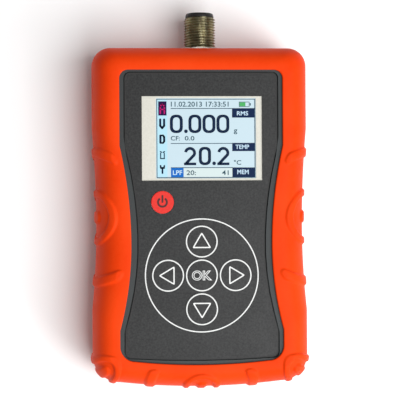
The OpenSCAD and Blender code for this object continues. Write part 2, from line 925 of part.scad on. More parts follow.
module connector_pins() {
    low = -seat_t - flange_t - tail_l - pin_low;
    color(gold_colour)
        at_connector()
            for (i = [0:pin_count - 1])
                rotate([0, 0, 360 * i / pin_count])
                    translate([pin_circle_r, 0, low]) {
                        cylinder(r = pin_r, h = tip - pin_high - pin_r - low, $fn = round_fn);
                        translate([0, 0, tip - pin_high - pin_r - low])
                            cylinder(r1 = pin_r, r2 = pin_r / 2, h = pin_r, $fn = round_fn);
                    }
}

module connector_washer() {
    color(nickel_colour)
        at_connector()
            difference() {
                cylinder(r = washer_r, h = washer_t, $fn = round_fn);
                translate([0, 0, -cut])
                    cylinder(r = shank_r + nut_gap, h = washer_t + 2 * cut, $fn = round_fn);
            }
}

module connector_nut() {
    corner_r = nut_flats / 2 / cos(180 / hex_sides);
    color(nickel_colour)
        at_connector()
            translate([0, 0, washer_t])
                difference() {
                    intersection() {
                        cylinder(r = corner_r, h = nut_t, $fn = hex_sides);
                        rotate_extrude($fn = round_fn)
                            polygon([[0, 0], [corner_r, 0], [corner_r, nut_t - nut_chamfer],
                                [corner_r - 2 * nut_chamfer, nut_t], [0, nut_t]]);
                    }
                    translate([0, 0, -cut])
                        cylinder(r = shank_r + nut_gap, h = nut_t + 2 * cut, $fn = round_fn);
                }
}

module cell(r, length) {
    rotate_extrude($fn = round_fn)
        polygon([[0, 0], [cell_cap_r, 0], [cell_cap_r, cell_wrap], [r, cell_wrap],
            [r, length - button_l], [button_r, length - button_l], [button_r, length], [0, length]]);
}

module batteries() {
    color(cell_colour) {
        translate([-cell_x, bay_top_y - plate_t - cell_l, cell_z])
            rotate([-90, 0, 0])
                cell(cell_r, cell_l);
        translate([cell_x, bay_low_y + plate_t + cell_l, cell_z])
            rotate([90, 0, 0])
                cell(cell_r, cell_l);
    }
}

module contact_plates() {
    color(steel_colour) {
        block(0, bay_low_y + plate_t / 2, cell_z - plate_h / 2, 2 * cell_x + plate_w, plate_t, plate_h);
        for (side = [-1, 1])
            block(side * cell_x, bay_top_y - plate_t / 2, cell_z - plate_h / 2, plate_w, plate_t, plate_h);
    }
}

function unit(v) = v / norm(v);

// Points of a tube along a path, its rings turned about a fixed direction
function tube_rings(path, r, sides, across) = [
    for (i = [0:len(path) - 1])
        let (
            ahead = path[min(i + 1, len(path) - 1)],
            behind = path[max(i - 1, 0)],
            u = unit(cross(ahead - behind, across)),
            v = unit(cross(ahead - behind, u)))
        [for (k = [0:sides - 1]) let (a = 360 * k / sides) path[i] + r * (cos(a) * u + sin(a) * v)]];

module tube(path, r, sides, across) {
    rings = tube_rings(path, r, sides, across);
    m = len(rings);
    walls = [for (i = [0:m - 2], j = [0:sides - 1])
        let (a = i * sides + j, b = i * sides + (j + 1) % sides)
        each [[a, b, b + sides], [a, b + sides, a + sides]]];
    ends = [[for (j = [sides - 1:-1:0]) j], [for (j = [0:sides - 1]) (m - 1) * sides + j]];
    polyhedron([for (ring = rings) each ring], concat(walls, ends));
}

// A battery spring from its plate to the cell, narrowing on the way
function spring_path(length, steps) = [
    for (i = [0:steps])
        let (
            s = i / steps,
            r = spring_r_low + (spring_r_high - spring_r_low) * s,
            a = 360 * spring_turns * s)
        [r * cos(a), r * sin(a), spring_wire_r + touch + (length - 2 * spring_wire_r - 2 * touch) * s]];

module battery_springs() {
    steps = spring_turns * spring_turn_steps;
    color(steel_colour) {
        translate([-cell_x, bay_low_y + plate_t, cell_z])
            rotate([-90, 0, 0])
                tube(spring_path(spring_room, steps), spring_wire_r, spring_sides, [0, 0, 1]);
        translate([cell_x, bay_top_y - plate_t, cell_z])
            rotate([90, 0, 0])
                tube(spring_path(spring_room, steps), spring_wire_r, spring_sides, [0, 0, 1]);
    }
}

// A smooth run that leaves one point and arrives at another along the length of the meter
function lead_path(from, to, steps) =
    let (pull = [0, (to[1] - from[1]) / 2, 0])
    [for (i = [0:steps]) let (s = i / steps, q = 1 - s)
        q * q * q * from + 3 * q * q * s * (from + pull) + 3 * q * s * s * (to - pull) + s * s * s * to];

module sensor_leads() {
    steps = lead_steps;
    low_y = seat_y - seat_t - flange_t - tail_l - pin_low;
    for (i = [0:pin_count - 1])
        let (
            a = 360 * i / pin_count,
            from = [connector_x + pin_circle_r * cos(a), low_y - lead_gap,
                connector_z - pin_circle_r * sin(a)],
            to = [header_pitch * lead_places_share[i], sensor_header_y + lead_gap, board_z - header_h / 2])
        color(wire_colours[i])
            tube(lead_path(from, to, steps), lead_r, lead_sides, [1, 0, 0]);
}

module battery_leads() {
    steps = lead_steps;
    for (side = [-1, 1])
        let (
            from = [side * cell_x, bay_top_y + lead_gap, lead_z],
            out = from + [0, bay_wall, 0],
            to_x = battery_header_x + side * battery_header_w / 4,
            to = [to_x, battery_header_y - lead_gap, board_z - header_h / 2])
        color(wire_colours[side > 0 ? 0 : 1])
            tube(concat([from], lead_path(out, to, steps)), lead_r, lead_sides, [1, 0, 0]);
}

// Everything is drawn about the middle of the boot, then moved so that 0 is the middle of the whole
module place() {
    translate([0, middle_y, 0])
        children();
}

place() rubber_boot();
place() front_case();
place() rear_case();
place() case_seal();
place() battery_door();
place() case_screws();
place() graphic_overlay();
place() dome_spacer();
place() keypad_circuit();
place() key(0);  // key_up
place() key(1);  // key_left
place() key(2);  // key_ok
place() key(3);  // key_right
place() key(4);  // key_down
place() key(5);  // key_power
place() dome(0);  // dome_up
place() dome(1);  // dome_left
place() dome(2);  // dome_ok
place() dome(3);  // dome_right
place() dome(4);  // dome_down
place() dome(5);  // dome_power
place() display_window();
place() display_panel();
place() backlight();
place() display_tray();
place() display_flex();
place() main_board();
place() board_chips();
place() board_sockets();
place() board_screws();
place() connector_shell();
place() connector_insert();
place() connector_pins();
place() connector_seal();
place() connector_washer();
place() connector_nut();
place() sensor_leads();
place() batteries();
place() battery_springs();
place() contact_plates();
place() battery_leads();
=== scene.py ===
"""Looks of a handheld vibration meter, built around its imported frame.

Lengths are in millimetres until a mesh is made. Those of camera and lights are in metres.
"""
import json
import math

import bmesh
import bpy
import numpy as np
from mathutils import Matrix, Vector


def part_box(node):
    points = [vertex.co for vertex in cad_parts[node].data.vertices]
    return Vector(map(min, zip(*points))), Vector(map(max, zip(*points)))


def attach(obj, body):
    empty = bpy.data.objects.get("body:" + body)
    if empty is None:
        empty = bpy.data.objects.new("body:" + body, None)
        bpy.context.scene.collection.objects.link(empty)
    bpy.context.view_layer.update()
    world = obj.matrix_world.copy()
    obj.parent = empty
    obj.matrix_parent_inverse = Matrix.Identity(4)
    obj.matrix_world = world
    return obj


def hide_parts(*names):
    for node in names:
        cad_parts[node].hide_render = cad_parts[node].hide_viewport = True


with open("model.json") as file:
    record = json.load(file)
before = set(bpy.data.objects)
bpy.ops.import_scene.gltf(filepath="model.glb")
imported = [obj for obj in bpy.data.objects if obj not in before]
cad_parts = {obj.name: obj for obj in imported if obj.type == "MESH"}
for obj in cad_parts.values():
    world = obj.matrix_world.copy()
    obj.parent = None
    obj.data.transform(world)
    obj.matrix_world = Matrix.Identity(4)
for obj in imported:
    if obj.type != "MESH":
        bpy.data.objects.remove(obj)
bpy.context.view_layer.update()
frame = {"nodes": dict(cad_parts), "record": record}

MM = 0.001
TINY = 1e-9


# Outline of the boot about its own middle, as the part has it

BOOT_TOP = 63.8
BOOT_HALF = 40.6
WALL = 3.0
BACK_ROUND = 6.0
WAIST_Y = -10.2
WAIST_UP = 36.4
WAIST_DOWN = 31.5
WAIST_LIFT = 7.0
WAIST_CUT = 1.6
BULGE = 3.2
LOW_CORNER = 10.0
HIGH_CORNER = 7.0
FRONT_BORDER = 10.5
LIP_LAND = 0.5
OPENING_CUT = 4.2
OPENING_BULGE = 2.1
OPENING_TOP_MARGIN = 9.6
OPENING_BOTTOM_MARGIN = 9.4
OPENING_TOP_CORNER = 3.2
OPENING_BOTTOM_CORNER = 5.5

# Section of the boot's front, which lies a little lower than the part's so that the ridges stand out of it

FRONT_DROP = 0.4
FRONT_START = 16.0
SQUARENESS = 2.7

# Ridge patterns: the (inner, outer) radii of their rings, where they widen out, and where they end.
# Both of these are measured on the skin from the middle of the boot's depth.

RIDGE_HEIGHT = 0.78
RIDGE_STEP = 0.45
STEP_POWER = 0.8
CROWN_FALL = 0.6
CROWN_POWER = 4
RIDGE_LOW_START = 0.6
RIDGE_LOW_END = 2.4
SIDE_RINGS = ((0.0, 2.5), (7.35, 10.55), (22.1, 26.1))
SIDE_SPREAD = 8.9
SIDE_END = 21.2
SIDE_BELT = 12
SIDE_REACH = 32
END_RINGS = ((0.0, 1.9), (4.3, 6.95), (17.2, 21.2))
END_SPREAD = 12.8
END_END = 21.0
END_LINE = -45
END_REACH = 26
CORNER_RINGS = ((0.0, 2.4), (4.1, 7.0))
CORNER_SPREAD = 14.5
CORNER_END = 24.0
CORNER_TURN = 41.5
CORNER_BACK = 13.0


# Places taken from the frame

def low(node):
    """Lowest corner of a node, in millimetres."""
    return np.array(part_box(node)[0]) / MM


def high(node):
    """Highest corner of a node, in millimetres."""
    return np.array(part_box(node)[1]) / MM


def middle(node):
    return (low(node) + high(node)) / 2


KEYS = ("up", "left", "ok", "right", "down", "power")
BOOT_DEPTH = high("rubber_boot")[2]
BOOT_SIDE = high("rubber_boot")[0]
SKIN_TOP = BOOT_DEPTH - FRONT_DROP
MID_Y = high("rubber_boot")[1] - BOOT_TOP
CASE_FRONT = high("front_case")[2]
OVERLAY_TOP = high("graphic_overlay")[2]
KEY_TOP = high("key_ok")[2]
AXIS_X = middle("connector_washer")[0]
AXIS_Z = middle("connector_washer")[2]
SEAT_Y = low("connector_washer")[1]
TAIL_Y = low("connector_shell")[1]
TIP_Y = high("connector_shell")[1]


# Mesh helpers

WELD = 0.001
FLAT_ANGLE = 1.0
BEVEL_ANGLE = 40
BEVEL_SEGMENTS = 2
PIECE_SHARP = 45
BOOT_SHARP = 50
LATHE_SHARP = 32


def new_object(name, mesh):
    obj = bpy.data.objects.new(name, mesh)
    bpy.context.scene.collection.objects.link(obj)
    return obj


def mesh_object(name, points, faces, smooth=True):
    """A mesh object from points in millimetres."""
    mesh = bpy.data.meshes.new(name)
    mesh.from_pydata([tuple(p) for p in np.asarray(points, dtype=float) * MM], [], faces)
    mesh.update()
    mesh.validate()
    if smooth:
        mesh.polygons.foreach_set("use_smooth", [True] * len(mesh.polygons))
    return new_object(name, mesh)


def grid_faces(rows, columns, close_columns=True, close_rows=False):
    """Quads of a grid of points stored row by row."""
    faces = []
    for i in range(rows if close_rows else rows - 1):
        a = i * columns
        b = ((i + 1) % rows) * columns
        for j in range(columns if close_columns else columns - 1):
            k = (j + 1) % columns
            faces.append((a + j, a + k, b + k, b + j))
    return faces


def sharpen(obj, degrees):
    """Smooth shading that keeps edges sharper than an angle."""
    obj.data.polygons.foreach_set("use_smooth", [True] * len(obj.data.polygons))
    obj.data.set_sharp_from_angle(angle=math.radians(degrees))


def finish_piece(obj, material, body="meter", replaces=()):
    """Gives a piece its material, its body and what it stands for."""
    obj.data.materials.clear()
    obj.data.materials.append(material)
    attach(obj, body)
    if replaces:
        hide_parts(*replaces)


def lathe(name, profile, steps=96, wave=None):
    """A revolved piece about the connector's axis. The profile is a closed loop of (radius, y)."""
    points = []
    for k in range(steps):
        a = 2 * math.pi * k / steps
        for radius, y in profile:
            r = wave(radius, y, a) if wave else radius
            points.append((AXIS_X + r * math.sin(a), y, AXIS_Z + r * math.cos(a)))
    faces = grid_faces(steps, len(profile), close_columns=True, close_rows=True)
    return mesh_object(name, points, faces)


def softened(node, width):
    """A copy of a node's solid with its edges broken."""
    mesh = frame["nodes"][node].data.copy()
    work = bmesh.new()
    work.from_mesh(mesh)
    bmesh.ops.remove_doubles(work, verts=work.verts, dist=WELD * MM)
    bmesh.ops.dissolve_limit(work, angle_limit=math.radians(FLAT_ANGLE), verts=work.verts, edges=work.edges)
    work.to_mesh(mesh)
    work.free()
    obj = new_object(node + "_piece", mesh)
    bevel = obj.modifiers.new("edges", "BEVEL")
    bevel.width = width * MM
    bevel.segments = BEVEL_SEGMENTS
    bevel.limit_method = "ANGLE"
    bevel.angle_limit = math.radians(BEVEL_ANGLE)
    bevel.use_clamp_overlap = True
    bevel.harden_normals = False
    apply_modifiers(obj)
    sharpen(obj, PIECE_SHARP)
    obj.modifiers.new("flat_faces", "WEIGHTED_NORMAL").keep_sharp = True
    apply_modifiers(obj)
    return obj


def apply_modifiers(obj):
    """Turns what an object's modifiers make into its own mesh."""
    graph = bpy.context.evaluated_depsgraph_get()
    mesh = bpy.data.meshes.new_from_object(obj.evaluated_get(graph))
    obj.modifiers.clear()
    obj.data = mesh


def face_outward(obj):
    """Turns all the faces of a closed piece outward."""
    work = bmesh.new()
    work.from_mesh(obj.data)
    bmesh.ops.recalc_face_normals(work, faces=work.faces)
    work.to_mesh(obj.data)
    work.free()


def join(name, objects):
    """One mesh object from several, all with the same material."""
    work = bmesh.new()
    for obj in objects:
        work.from_mesh(obj.data)
        bpy.data.objects.remove(obj)
    mesh = bpy.data.meshes.new(name)
    work.to_mesh(mesh)
    work.free()
    return new_object(name, mesh)


# Material helpers

class Paint:
    """A material under construction: a principled shader and short ways to feed it."""

    def __init__(self, name, base, rough, **sockets):
        self.material = bpy.data.materials.new(name)
        self.material.use_nodes = True
        self.tree = self.material.node_tree
        self.shader = self.tree.nodes["Principled BSDF"]
        self.shader.inputs["Base Color"].default_value = (*base, 1)
        self.shader.inputs["Roughness"].default_value = rough
        for key, value in sockets.items():
            socket = self.shader.inputs[key.replace("_", " ").title().replace("Ior", "IOR")]
            socket.default_value = (*value, 1) if isinstance(value, tuple) else value
        self.place = self.node("ShaderNodeTexCoord").outputs["Object"]
        self.material.diffuse_color = (*base, 1)
        self.heights = []

    def node(self, kind, **values):
        made = self.tree.nodes.new(kind)
        for key, value in values.items():
            setattr(made, key, value)
        return made

    def link(self, source, target):
        self.tree.links.new(source, target)

    def noise(self, size, detail=3.0, rough=0.55, stretch=(1, 1, 1)):
        """Noise with features of a size in millimetres."""
        mapping = self.node("ShaderNodeMapping")
        self.link(self.place, mapping.inputs["Vector"])
        mapping.inputs["Scale"].default_value = [s / (size * MM) for s in stretch]
        made = self.node("ShaderNodeTexNoise")
        made.inputs["Scale"].default_value = 1.0
        made.inputs["Detail"].default_value = detail
        made.inputs["Roughness"].default_value = rough
        self.link(mapping.outputs["Vector"], made.inputs["Vector"])
        return made.outputs["Fac"]

    def ramp(self, source, stops):
        """A colour ramp over a source. Each stop is a place and a colour, or a place and a grey."""
        made = self.node("ShaderNodeValToRGB")
        points = made.color_ramp.elements
        while len(points) < len(stops):
            points.new(0.5)
        for point, (where, colour) in zip(points, stops):
            point.position = where
            point.color = (*colour, 1) if isinstance(colour, tuple) else (colour, colour, colour, 1)
        self.link(source, made.inputs["Fac"])
        return made.outputs["Color"]

    def mix(self, factor, first, second):
        """Two colours mixed by a factor. Each of the three is a value or another node's output."""
        made = self.node("ShaderNodeMix", data_type="RGBA")
        for socket, value in ((made.inputs[0], factor), (made.inputs[6], first), (made.inputs[7], second)):
            if isinstance(value, (tuple, float, int)):
                socket.default_value = (*value, 1) if isinstance(value, tuple) else value
            else:
                self.link(value, socket)
        return made.outputs[2]

    def colour(self, source):
        self.link(source, self.shader.inputs["Base Color"])

    def roughness(self, source, least, most):
        """Lets a source vary the roughness between two values."""
        made = self.node("ShaderNodeMapRange")
        made.inputs["To Min"].default_value = least
        made.inputs["To Max"].default_value = most
        self.link(source, made.inputs["Value"])
        self.link(made.outputs["Result"], self.shader.inputs["Roughness"])

    def bump(self, source, height):
        """Adds a relief of a height in millimetres."""
        made = self.node("ShaderNodeBump")
        made.inputs["Strength"].default_value = 1.0
        made.inputs["Distance"].default_value = height * MM
        self.link(source, made.inputs["Height"])
        if self.heights:
            self.link(self.heights[-1], made.inputs["Normal"])
        self.heights.append(made.outputs["Normal"])
        self.link(made.outputs["Normal"], self.shader.inputs["Normal"])


def rubber_paint():
    """Soft orange-red rubber, matt, with a fine grain and slight waves."""
    paint = Paint("boot_rubber", (0.72, 0.046, 0.005), 0.5, specular_ior_level=0.05)
    broad = paint.noise(size=26, detail=2)
    fine = paint.noise(size=1.6, detail=4)
    base = paint.ramp(broad, [(0.3, (0.72, 0.040, 0.002)), (0.7, (0.80, 0.054, 0.005))])
    specks = paint.ramp(fine, [(0.35, 0.0), (0.75, 0.12)])
    paint.colour(paint.mix(specks, base, (0.84, 0.080, 0.014)))
    paint.roughness(fine, least=0.42, most=0.58)
    paint.bump(paint.noise(size=0.55, detail=3), height=0.035)
    paint.bump(paint.noise(size=7, detail=2), height=0.10)
    return paint.material


def moulded_paint(name, base, lift=1.35, grain=0.45, depth=0.03, rough=0.5):
    """Moulded plastic with a spark-eroded grain."""
    paint = Paint(name, base, rough, specular_ior_level=0.4)
    fine = paint.noise(size=grain, detail=3)
    broad = paint.noise(size=18, detail=2)
    lifted = tuple(min(1.0, c * lift) for c in base)
    paint.colour(paint.mix(paint.ramp(broad, [(0.35, 0.0), (0.7, 1.0)]), base, lifted))
    paint.roughness(fine, least=rough - 0.07, most=rough + 0.08)
    paint.bump(fine, height=depth)
    return paint.material


def film_paint(name, base, speck, rough=0.42, shine=0.28):
    """Printed polyester film with a fine velvet texture and faint specks."""
    paint = Paint(name, base, rough, specular_ior_level=shine)
    grains = paint.noise(size=0.7, detail=3, rough=0.6)
    patches = paint.noise(size=9, detail=3, rough=0.6)
    paint.colour(paint.mix(paint.ramp(grains, [(0.36, 0.0), (0.66, 1.0)]), base, speck))
    paint.roughness(patches, least=rough - 0.08, most=rough + 0.10)
    paint.bump(grains, height=0.018)
    paint.bump(patches, height=0.010)
    return paint.material


def metal_paint(name, base, dark, rough):
    """Plated metal with turning marks round the connector's axis and a little tarnish."""
    paint = Paint(name, base, rough, metallic=1.0)
    tarnish = paint.noise(size=3.5, detail=5, rough=0.65)
    streaks = paint.noise(size=0.5, detail=3, rough=0.6, stretch=(1, 6, 1))
    paint.colour(paint.mix(paint.ramp(tarnish, [(0.35, 0.0), (0.72, 1.0)]), base, dark))
    paint.roughness(streaks, least=rough - 0.08, most=rough + 0.14)
    paint.bump(streaks, height=0.006)
    return paint.material


GLOW = 0.2


def glow_paint(name, base, strength):
    """A part of the display, which gives off a little light in its own colour."""
    rough = 0.35
    paint = Paint(name, base, rough, emission_color=base, emission_strength=GLOW * strength,
                  specular_ior_level=0.08)
    paint.bump(paint.noise(size=0.4, detail=2), height=0.002)
    paint.roughness(paint.noise(size=0.8, detail=2), least=rough - 0.05, most=rough + 0.05)
    return paint.material


def board_paint():
    """Solder mask with faint tracks under it."""
    mask = (0.015, 0.11, 0.035)
    paint = Paint("board_laminate", mask, 0.3, specular_ior_level=0.5)
    tracks = paint.node("ShaderNodeTexBrick")
    mapping = paint.node("ShaderNodeMapping")
    mapping.inputs["Scale"].default_value = (260, 260, 260)
    paint.link(paint.place, mapping.inputs["Vector"])
    paint.link(mapping.outputs["Vector"], tracks.inputs["Vector"])
    tracks.inputs["Color1"].default_value = (*mask, 1)
    tracks.inputs["Color2"].default_value = (0.018, 0.13, 0.040, 1)
    tracks.inputs["Mortar"].default_value = (0.035, 0.22, 0.075, 1)
    tracks.inputs["Mortar Size"].default_value = 0.06
    paint.colour(tracks.outputs["Color"])
    paint.bump(paint.noise(size=0.8, detail=3), height=0.01)
    return paint.material


def floor_paint():
    paint = Paint("pale_floor", (0.93, 0.93, 0.93), 0.75)
    paint.bump(paint.noise(size=3, detail=3), height=0.01)
    return paint.material


# Recipes of the materials, by the names of the record's slots and of the inks.
# Moulded: name, colour, lift, grain, depth, roughness
MOULDED = (
    ("case_plastic", (0.017, 0.022, 0.023), 1.25),
    ("door_plastic", (0.040, 0.044, 0.046), 1.25),
    ("seal_rubber", (0.012, 0.012, 0.012), 1.6, 0.6, 0.02, 0.6),
    ("tray_plastic", (0.015, 0.015, 0.017)),
    ("chip_resin", (0.012, 0.012, 0.013), 1.5, 0.25, 0.012, 0.45),
    ("socket_plastic", (0.68, 0.66, 0.58), 1.1),
    ("insert_plastic", (0.008, 0.006, 0.006)),
    ("cell_jacket", (0.012, 0.07, 0.065), 1.3, 2.0, 0.004, 0.28),
    ("lead_red", (0.50, 0.02, 0.02), 1.1, 1.0, 0.008, 0.4),
    ("lead_black", (0.02, 0.02, 0.02), 1.1, 1.0, 0.008, 0.4),
    ("lead_white", (0.75, 0.74, 0.70), 1.1, 1.0, 0.008, 0.4),
    ("lead_blue", (0.02, 0.06, 0.42), 1.1, 1.0, 0.008, 0.4),
)

# Film: name, colour, colour of the specks, roughness, shine
FILMS = (
    ("overlay_film", (0.007, 0.0073, 0.0080), (0.023, 0.024, 0.024)),
    ("key_film", (0.008, 0.0083, 0.0090), (0.025, 0.026, 0.026)),
    ("power_key", (0.62, 0.022, 0.015), (0.70, 0.034, 0.024), 0.4, 0.18),
    ("spacer_film", (0.62, 0.63, 0.60), (0.70, 0.71, 0.68)),
    ("circuit_film", (0.55, 0.57, 0.55), (0.68, 0.69, 0.68)),
    ("window_clear", (0.56, 0.55, 0.485), (0.61, 0.60, 0.535), 0.32),
    ("diffuser", (0.82, 0.82, 0.79), (0.88, 0.88, 0.86)),
    ("flex_film", (0.52, 0.20, 0.03), (0.60, 0.26, 0.05), 0.3),
    ("pad_ink", (0.68, 0.69, 0.68), (0.78, 0.79, 0.78), 0.5, 0.2),
    ("power_ink", (0.055, 0.010, 0.010), (0.075, 0.014, 0.014), 0.5),
)

# Metal: name, colour, colour of the tarnish, roughness
METALS = (
    ("screw_steel", (0.50, 0.50, 0.50), (0.36, 0.36, 0.35), 0.3),
    ("dome_steel", (0.62, 0.62, 0.62), (0.50, 0.50, 0.49), 0.22),
    ("connector_metal", (0.40, 0.365, 0.225), (0.15, 0.13, 0.08), 0.29),
    ("contact_gold", (0.85, 0.62, 0.24), (0.70, 0.48, 0.18), 0.2),
    ("washer_metal", (0.58, 0.54, 0.49), (0.42, 0.39, 0.35), 0.34),
    ("nut_metal", (0.46, 0.42, 0.37), (0.32, 0.29, 0.25), 0.34),
    ("spring_steel", (0.6, 0.6, 0.6), (0.46, 0.46, 0.45), 0.25),
    ("plate_steel", (0.6, 0.6, 0.6), (0.46, 0.46, 0.45), 0.3),
)

# Display: name, colour, strength of its light
GLOWS = (
    ("panel_glass", (0.62, 0.78, 0.92), 0.3),
    ("lcd_back", (0.46, 0.58, 0.64), 0.34),
    ("lcd_warm", (0.53, 0.62, 0.62), 0.30),
    ("lcd_column", (0.37, 0.60, 0.70), 0.34),
    ("lcd_dark", (0.0005, 0.011, 0.038), 0.25),
    ("lcd_line", (0.010, 0.040, 0.075), 0.25),
    ("lcd_thin", (0.030, 0.075, 0.10), 0.3),
    ("lcd_navy", (0.0005, 0.012, 0.052), 0.3),
    ("lcd_blue", (0.005, 0.11, 0.42), 0.4),
    ("lcd_light", (0.45, 0.60, 0.72), 0.4),
    ("lcd_plum", (0.014, 0.002, 0.042), 0.25),
    ("lcd_pink", (0.42, 0.008, 0.13), 0.4),
    ("lcd_green", (0.06, 0.34, 0.10), 0.4),
)


def all_paints():
    """Every material by its name."""
    made = {"boot_rubber": rubber_paint(), "board_laminate": board_paint()}
    kinds = ((moulded_paint, MOULDED), (film_paint, FILMS), (metal_paint, METALS), (glow_paint, GLOWS))
    for paint, recipes in kinds:
        for recipe in recipes:
            made[recipe[0]] = paint(*recipe)
    return made


# The boot

# Points along half an outline: lower end, lower corner, side, upper corner and upper end
OUTLINE_COUNTS = (54, 42, 290, 20, 14)

# Rows of the skin: round the back edge, up the side, and round to the front
BACK_ROWS = 16
SIDE_ROWS = 22
FRONT_ROWS = 62

# What keeps the skin inside the part's box
SIDE_MARGIN = 0.01
TOP_MARGIN = 0.04

# (inset, height) of the rolled lip and of the inside, from the front to the back
LIP_LEVELS = ((FRONT_BORDER - 0.22, SKIN_TOP - 0.03), (FRONT_BORDER - 0.06, SKIN_TOP - 0.14),
              (FRONT_BORDER, SKIN_TOP - 0.36), (FRONT_BORDER, CASE_FRONT + 0.17))
INSIDE_LEVELS = ((9.0, CASE_FRONT + 0.16), (6.2, 32.5), (WALL + 0.6, 27), (WALL, 20), (WALL, 7),
                 (WALL + 1.2, 3.6), (8, 1.87))

# The opening in the back, and the (height, widening) of its edge
BACK_HALF = 22
BACK_TOP = 50
BACK_BOTTOM = 55
BACK_CORNER = 6
BACK_LEVELS = ((1.86, 0.0), (1.5, 0.0), (0.35, 0.0), (0.08, 0.25), (0.0, 0.6))

# The connector's hole through the upper end
HOLE_R = 9.0
HOLE_STEPS = 72
HOLE_INWARD = 3
HOLE_OUTWARD = 2


def waist_rise(y):
    """Share of the waist's cut that is gone at a place along the side."""
    s = np.where(y > WAIST_Y, (y - WAIST_Y) / WAIST_UP, (WAIST_Y - y) / WAIST_DOWN)
    return np.minimum(1, s) ** 2


def outline(half, draw_in, top, bottom, bulge, r_top, r_bottom, lift=0.0, counts=OUTLINE_COUNTS):
    """An outline from the middle of its lower end, up the right side and down the left one."""
    n_end, n_low, n_side, n_high, n_top = counts
    x_low = half - r_bottom
    y_low = bulge * (x_low / half) ** 2 - bottom + r_bottom
    x_high = half - r_top
    y_high = top - r_top
    x = x_low * np.arange(n_end) / n_end
    end = np.stack([x, bulge * (x / half) ** 2 - bottom], 1)
    a = np.radians(90 * np.arange(n_low + 1) / n_low - 90)
    corner_low = np.stack([x_low + r_bottom * np.cos(a), y_low + r_bottom * np.sin(a)], 1)
    y = y_low + (y_high - y_low) * np.arange(1, n_side) / n_side
    side = np.stack([half - draw_in * (1 - waist_rise(y - lift)), y], 1)
    a = np.radians(90 * np.arange(n_high + 1) / n_high)
    corner_high = np.stack([x_high + r_top * np.cos(a), y_high + r_top * np.sin(a)], 1)
    x = x_high * (1 - np.arange(1, n_top + 1) / n_top)
    top_end = np.stack([x, np.full(n_top, top)], 1)
    right = np.concatenate([end, corner_low, side, corner_high, top_end])
    left = right[-2:0:-1] * np.array([-1, 1])
    return np.concatenate([right, left])


def housing_outline(inset):
    """The boot's outline moved in, which has become its front opening's at FRONT_BORDER."""
    s = inset / FRONT_BORDER

    def between(outside, opening):
        return outside + (opening - outside) * s

    return outline(BOOT_HALF - inset, between(WAIST_CUT, OPENING_CUT), BOOT_TOP - OPENING_TOP_MARGIN * s,
                   BOOT_TOP - OPENING_BOTTOM_MARGIN * s, between(BULGE, OPENING_BULGE),
                   between(HIGH_CORNER, OPENING_TOP_CORNER), between(LOW_CORNER, OPENING_BOTTOM_CORNER),
                   WAIST_LIFT * (1 - s))


def boot_levels():
    """(height, inset) of the boot's outer skin, from its back up to its lip."""
    levels = []
    for i in range(BACK_ROWS + 1):
        a = math.radians(90 * i / BACK_ROWS)
        levels.append((BACK_ROUND * (1 - math.cos(a)), BACK_ROUND * (1 - math.sin(a))))
    for i in range(1, SIDE_ROWS):
        levels.append((BACK_ROUND + (FRONT_START - BACK_ROUND) * i / SIDE_ROWS, 0.0))
    power = 2 / SQUARENESS
    border = FRONT_BORDER - LIP_LAND
    for i in range(FRONT_ROWS + 1):
        a = math.radians(90 * i / FRONT_ROWS)
        levels.append((FRONT_START + (SKIN_TOP - FRONT_START) * math.sin(a) ** power,
                       border * (1 - max(0.0, math.cos(a)) ** power)))
    return levels


def bump_of(distance, rings, arc, end):
    """Relief of a ring pattern: each band has a crown and steep sides, and a round end where it stops."""
    out = np.zeros_like(distance)
    for inner, outer in rings:
        centre = 0.0 if inner == 0 else (inner + outer) / 2
        width = outer if inner == 0 else (outer - inner) / 2
        off = np.clip(np.abs(distance - centre), 0, width)
        cap = end - width + np.sqrt(width ** 2 - off ** 2)
        crown = 1 - CROWN_FALL * (off / width) ** CROWN_POWER
        across = crown * np.clip((width - off) / RIDGE_STEP, 0, 1) ** STEP_POWER
        out = np.maximum(out, across * np.clip((cap - arc) / RIDGE_STEP, 0, 1) ** STEP_POWER)
    return out


def step(value, start, end):
    """A smooth step from nought at the start to one at the end."""
    t = np.clip((value - start) / (end - start), 0, 1)
    return t * t * (3 - 2 * t)


def corner_offset(x, y):
    """Distance from the middle of a lower corner's pattern, whose bars meet at one point inside the boot."""
    corner_x = BOOT_HALF - LOW_CORNER
    corner_y = BULGE * (corner_x / BOOT_HALF) ** 2 + LOW_CORNER - BOOT_TOP
    lean = math.radians(CORNER_TURN)
    aside = (np.abs(x) - corner_x) * math.sin(lean) + (y - corner_y) * math.cos(lean)
    ahead = (np.abs(x) - corner_x) * math.cos(lean) - (y - corner_y) * math.sin(lean) + CORNER_BACK
    return (LOW_CORNER + CORNER_BACK) * np.arctan2(aside, ahead)


def ridge_relief(points, arc):
    """How far each point of the boot stands out for the ridges, which are rings measured on its skin."""
    x, y, z = points[..., 0], points[..., 1], points[..., 2]

    def pattern(offset, spread, rings, end):
        return bump_of(np.hypot(offset, np.maximum(0, arc - spread)), rings, arc, end)

    on_side = (np.abs(x) > BOOT_HALF - SIDE_BELT) & (np.abs(y) < SIDE_REACH)
    on_end = (y < END_LINE) & (np.abs(x) < END_REACH)
    side = pattern(y, SIDE_SPREAD, SIDE_RINGS, SIDE_END) * on_side
    end = pattern(x, END_SPREAD, END_RINGS, END_END) * on_end
    corner = pattern(corner_offset(x, y), CORNER_SPREAD, CORNER_RINGS, CORNER_END)
    return RIDGE_HEIGHT * np.maximum(np.maximum(side, end), corner) * step(z, RIDGE_LOW_START, RIDGE_LOW_END)


def level(flat, z):
    """One row of points: a flat outline at a height."""
    return np.concatenate([flat, np.full((len(flat), 1), z)], 1)


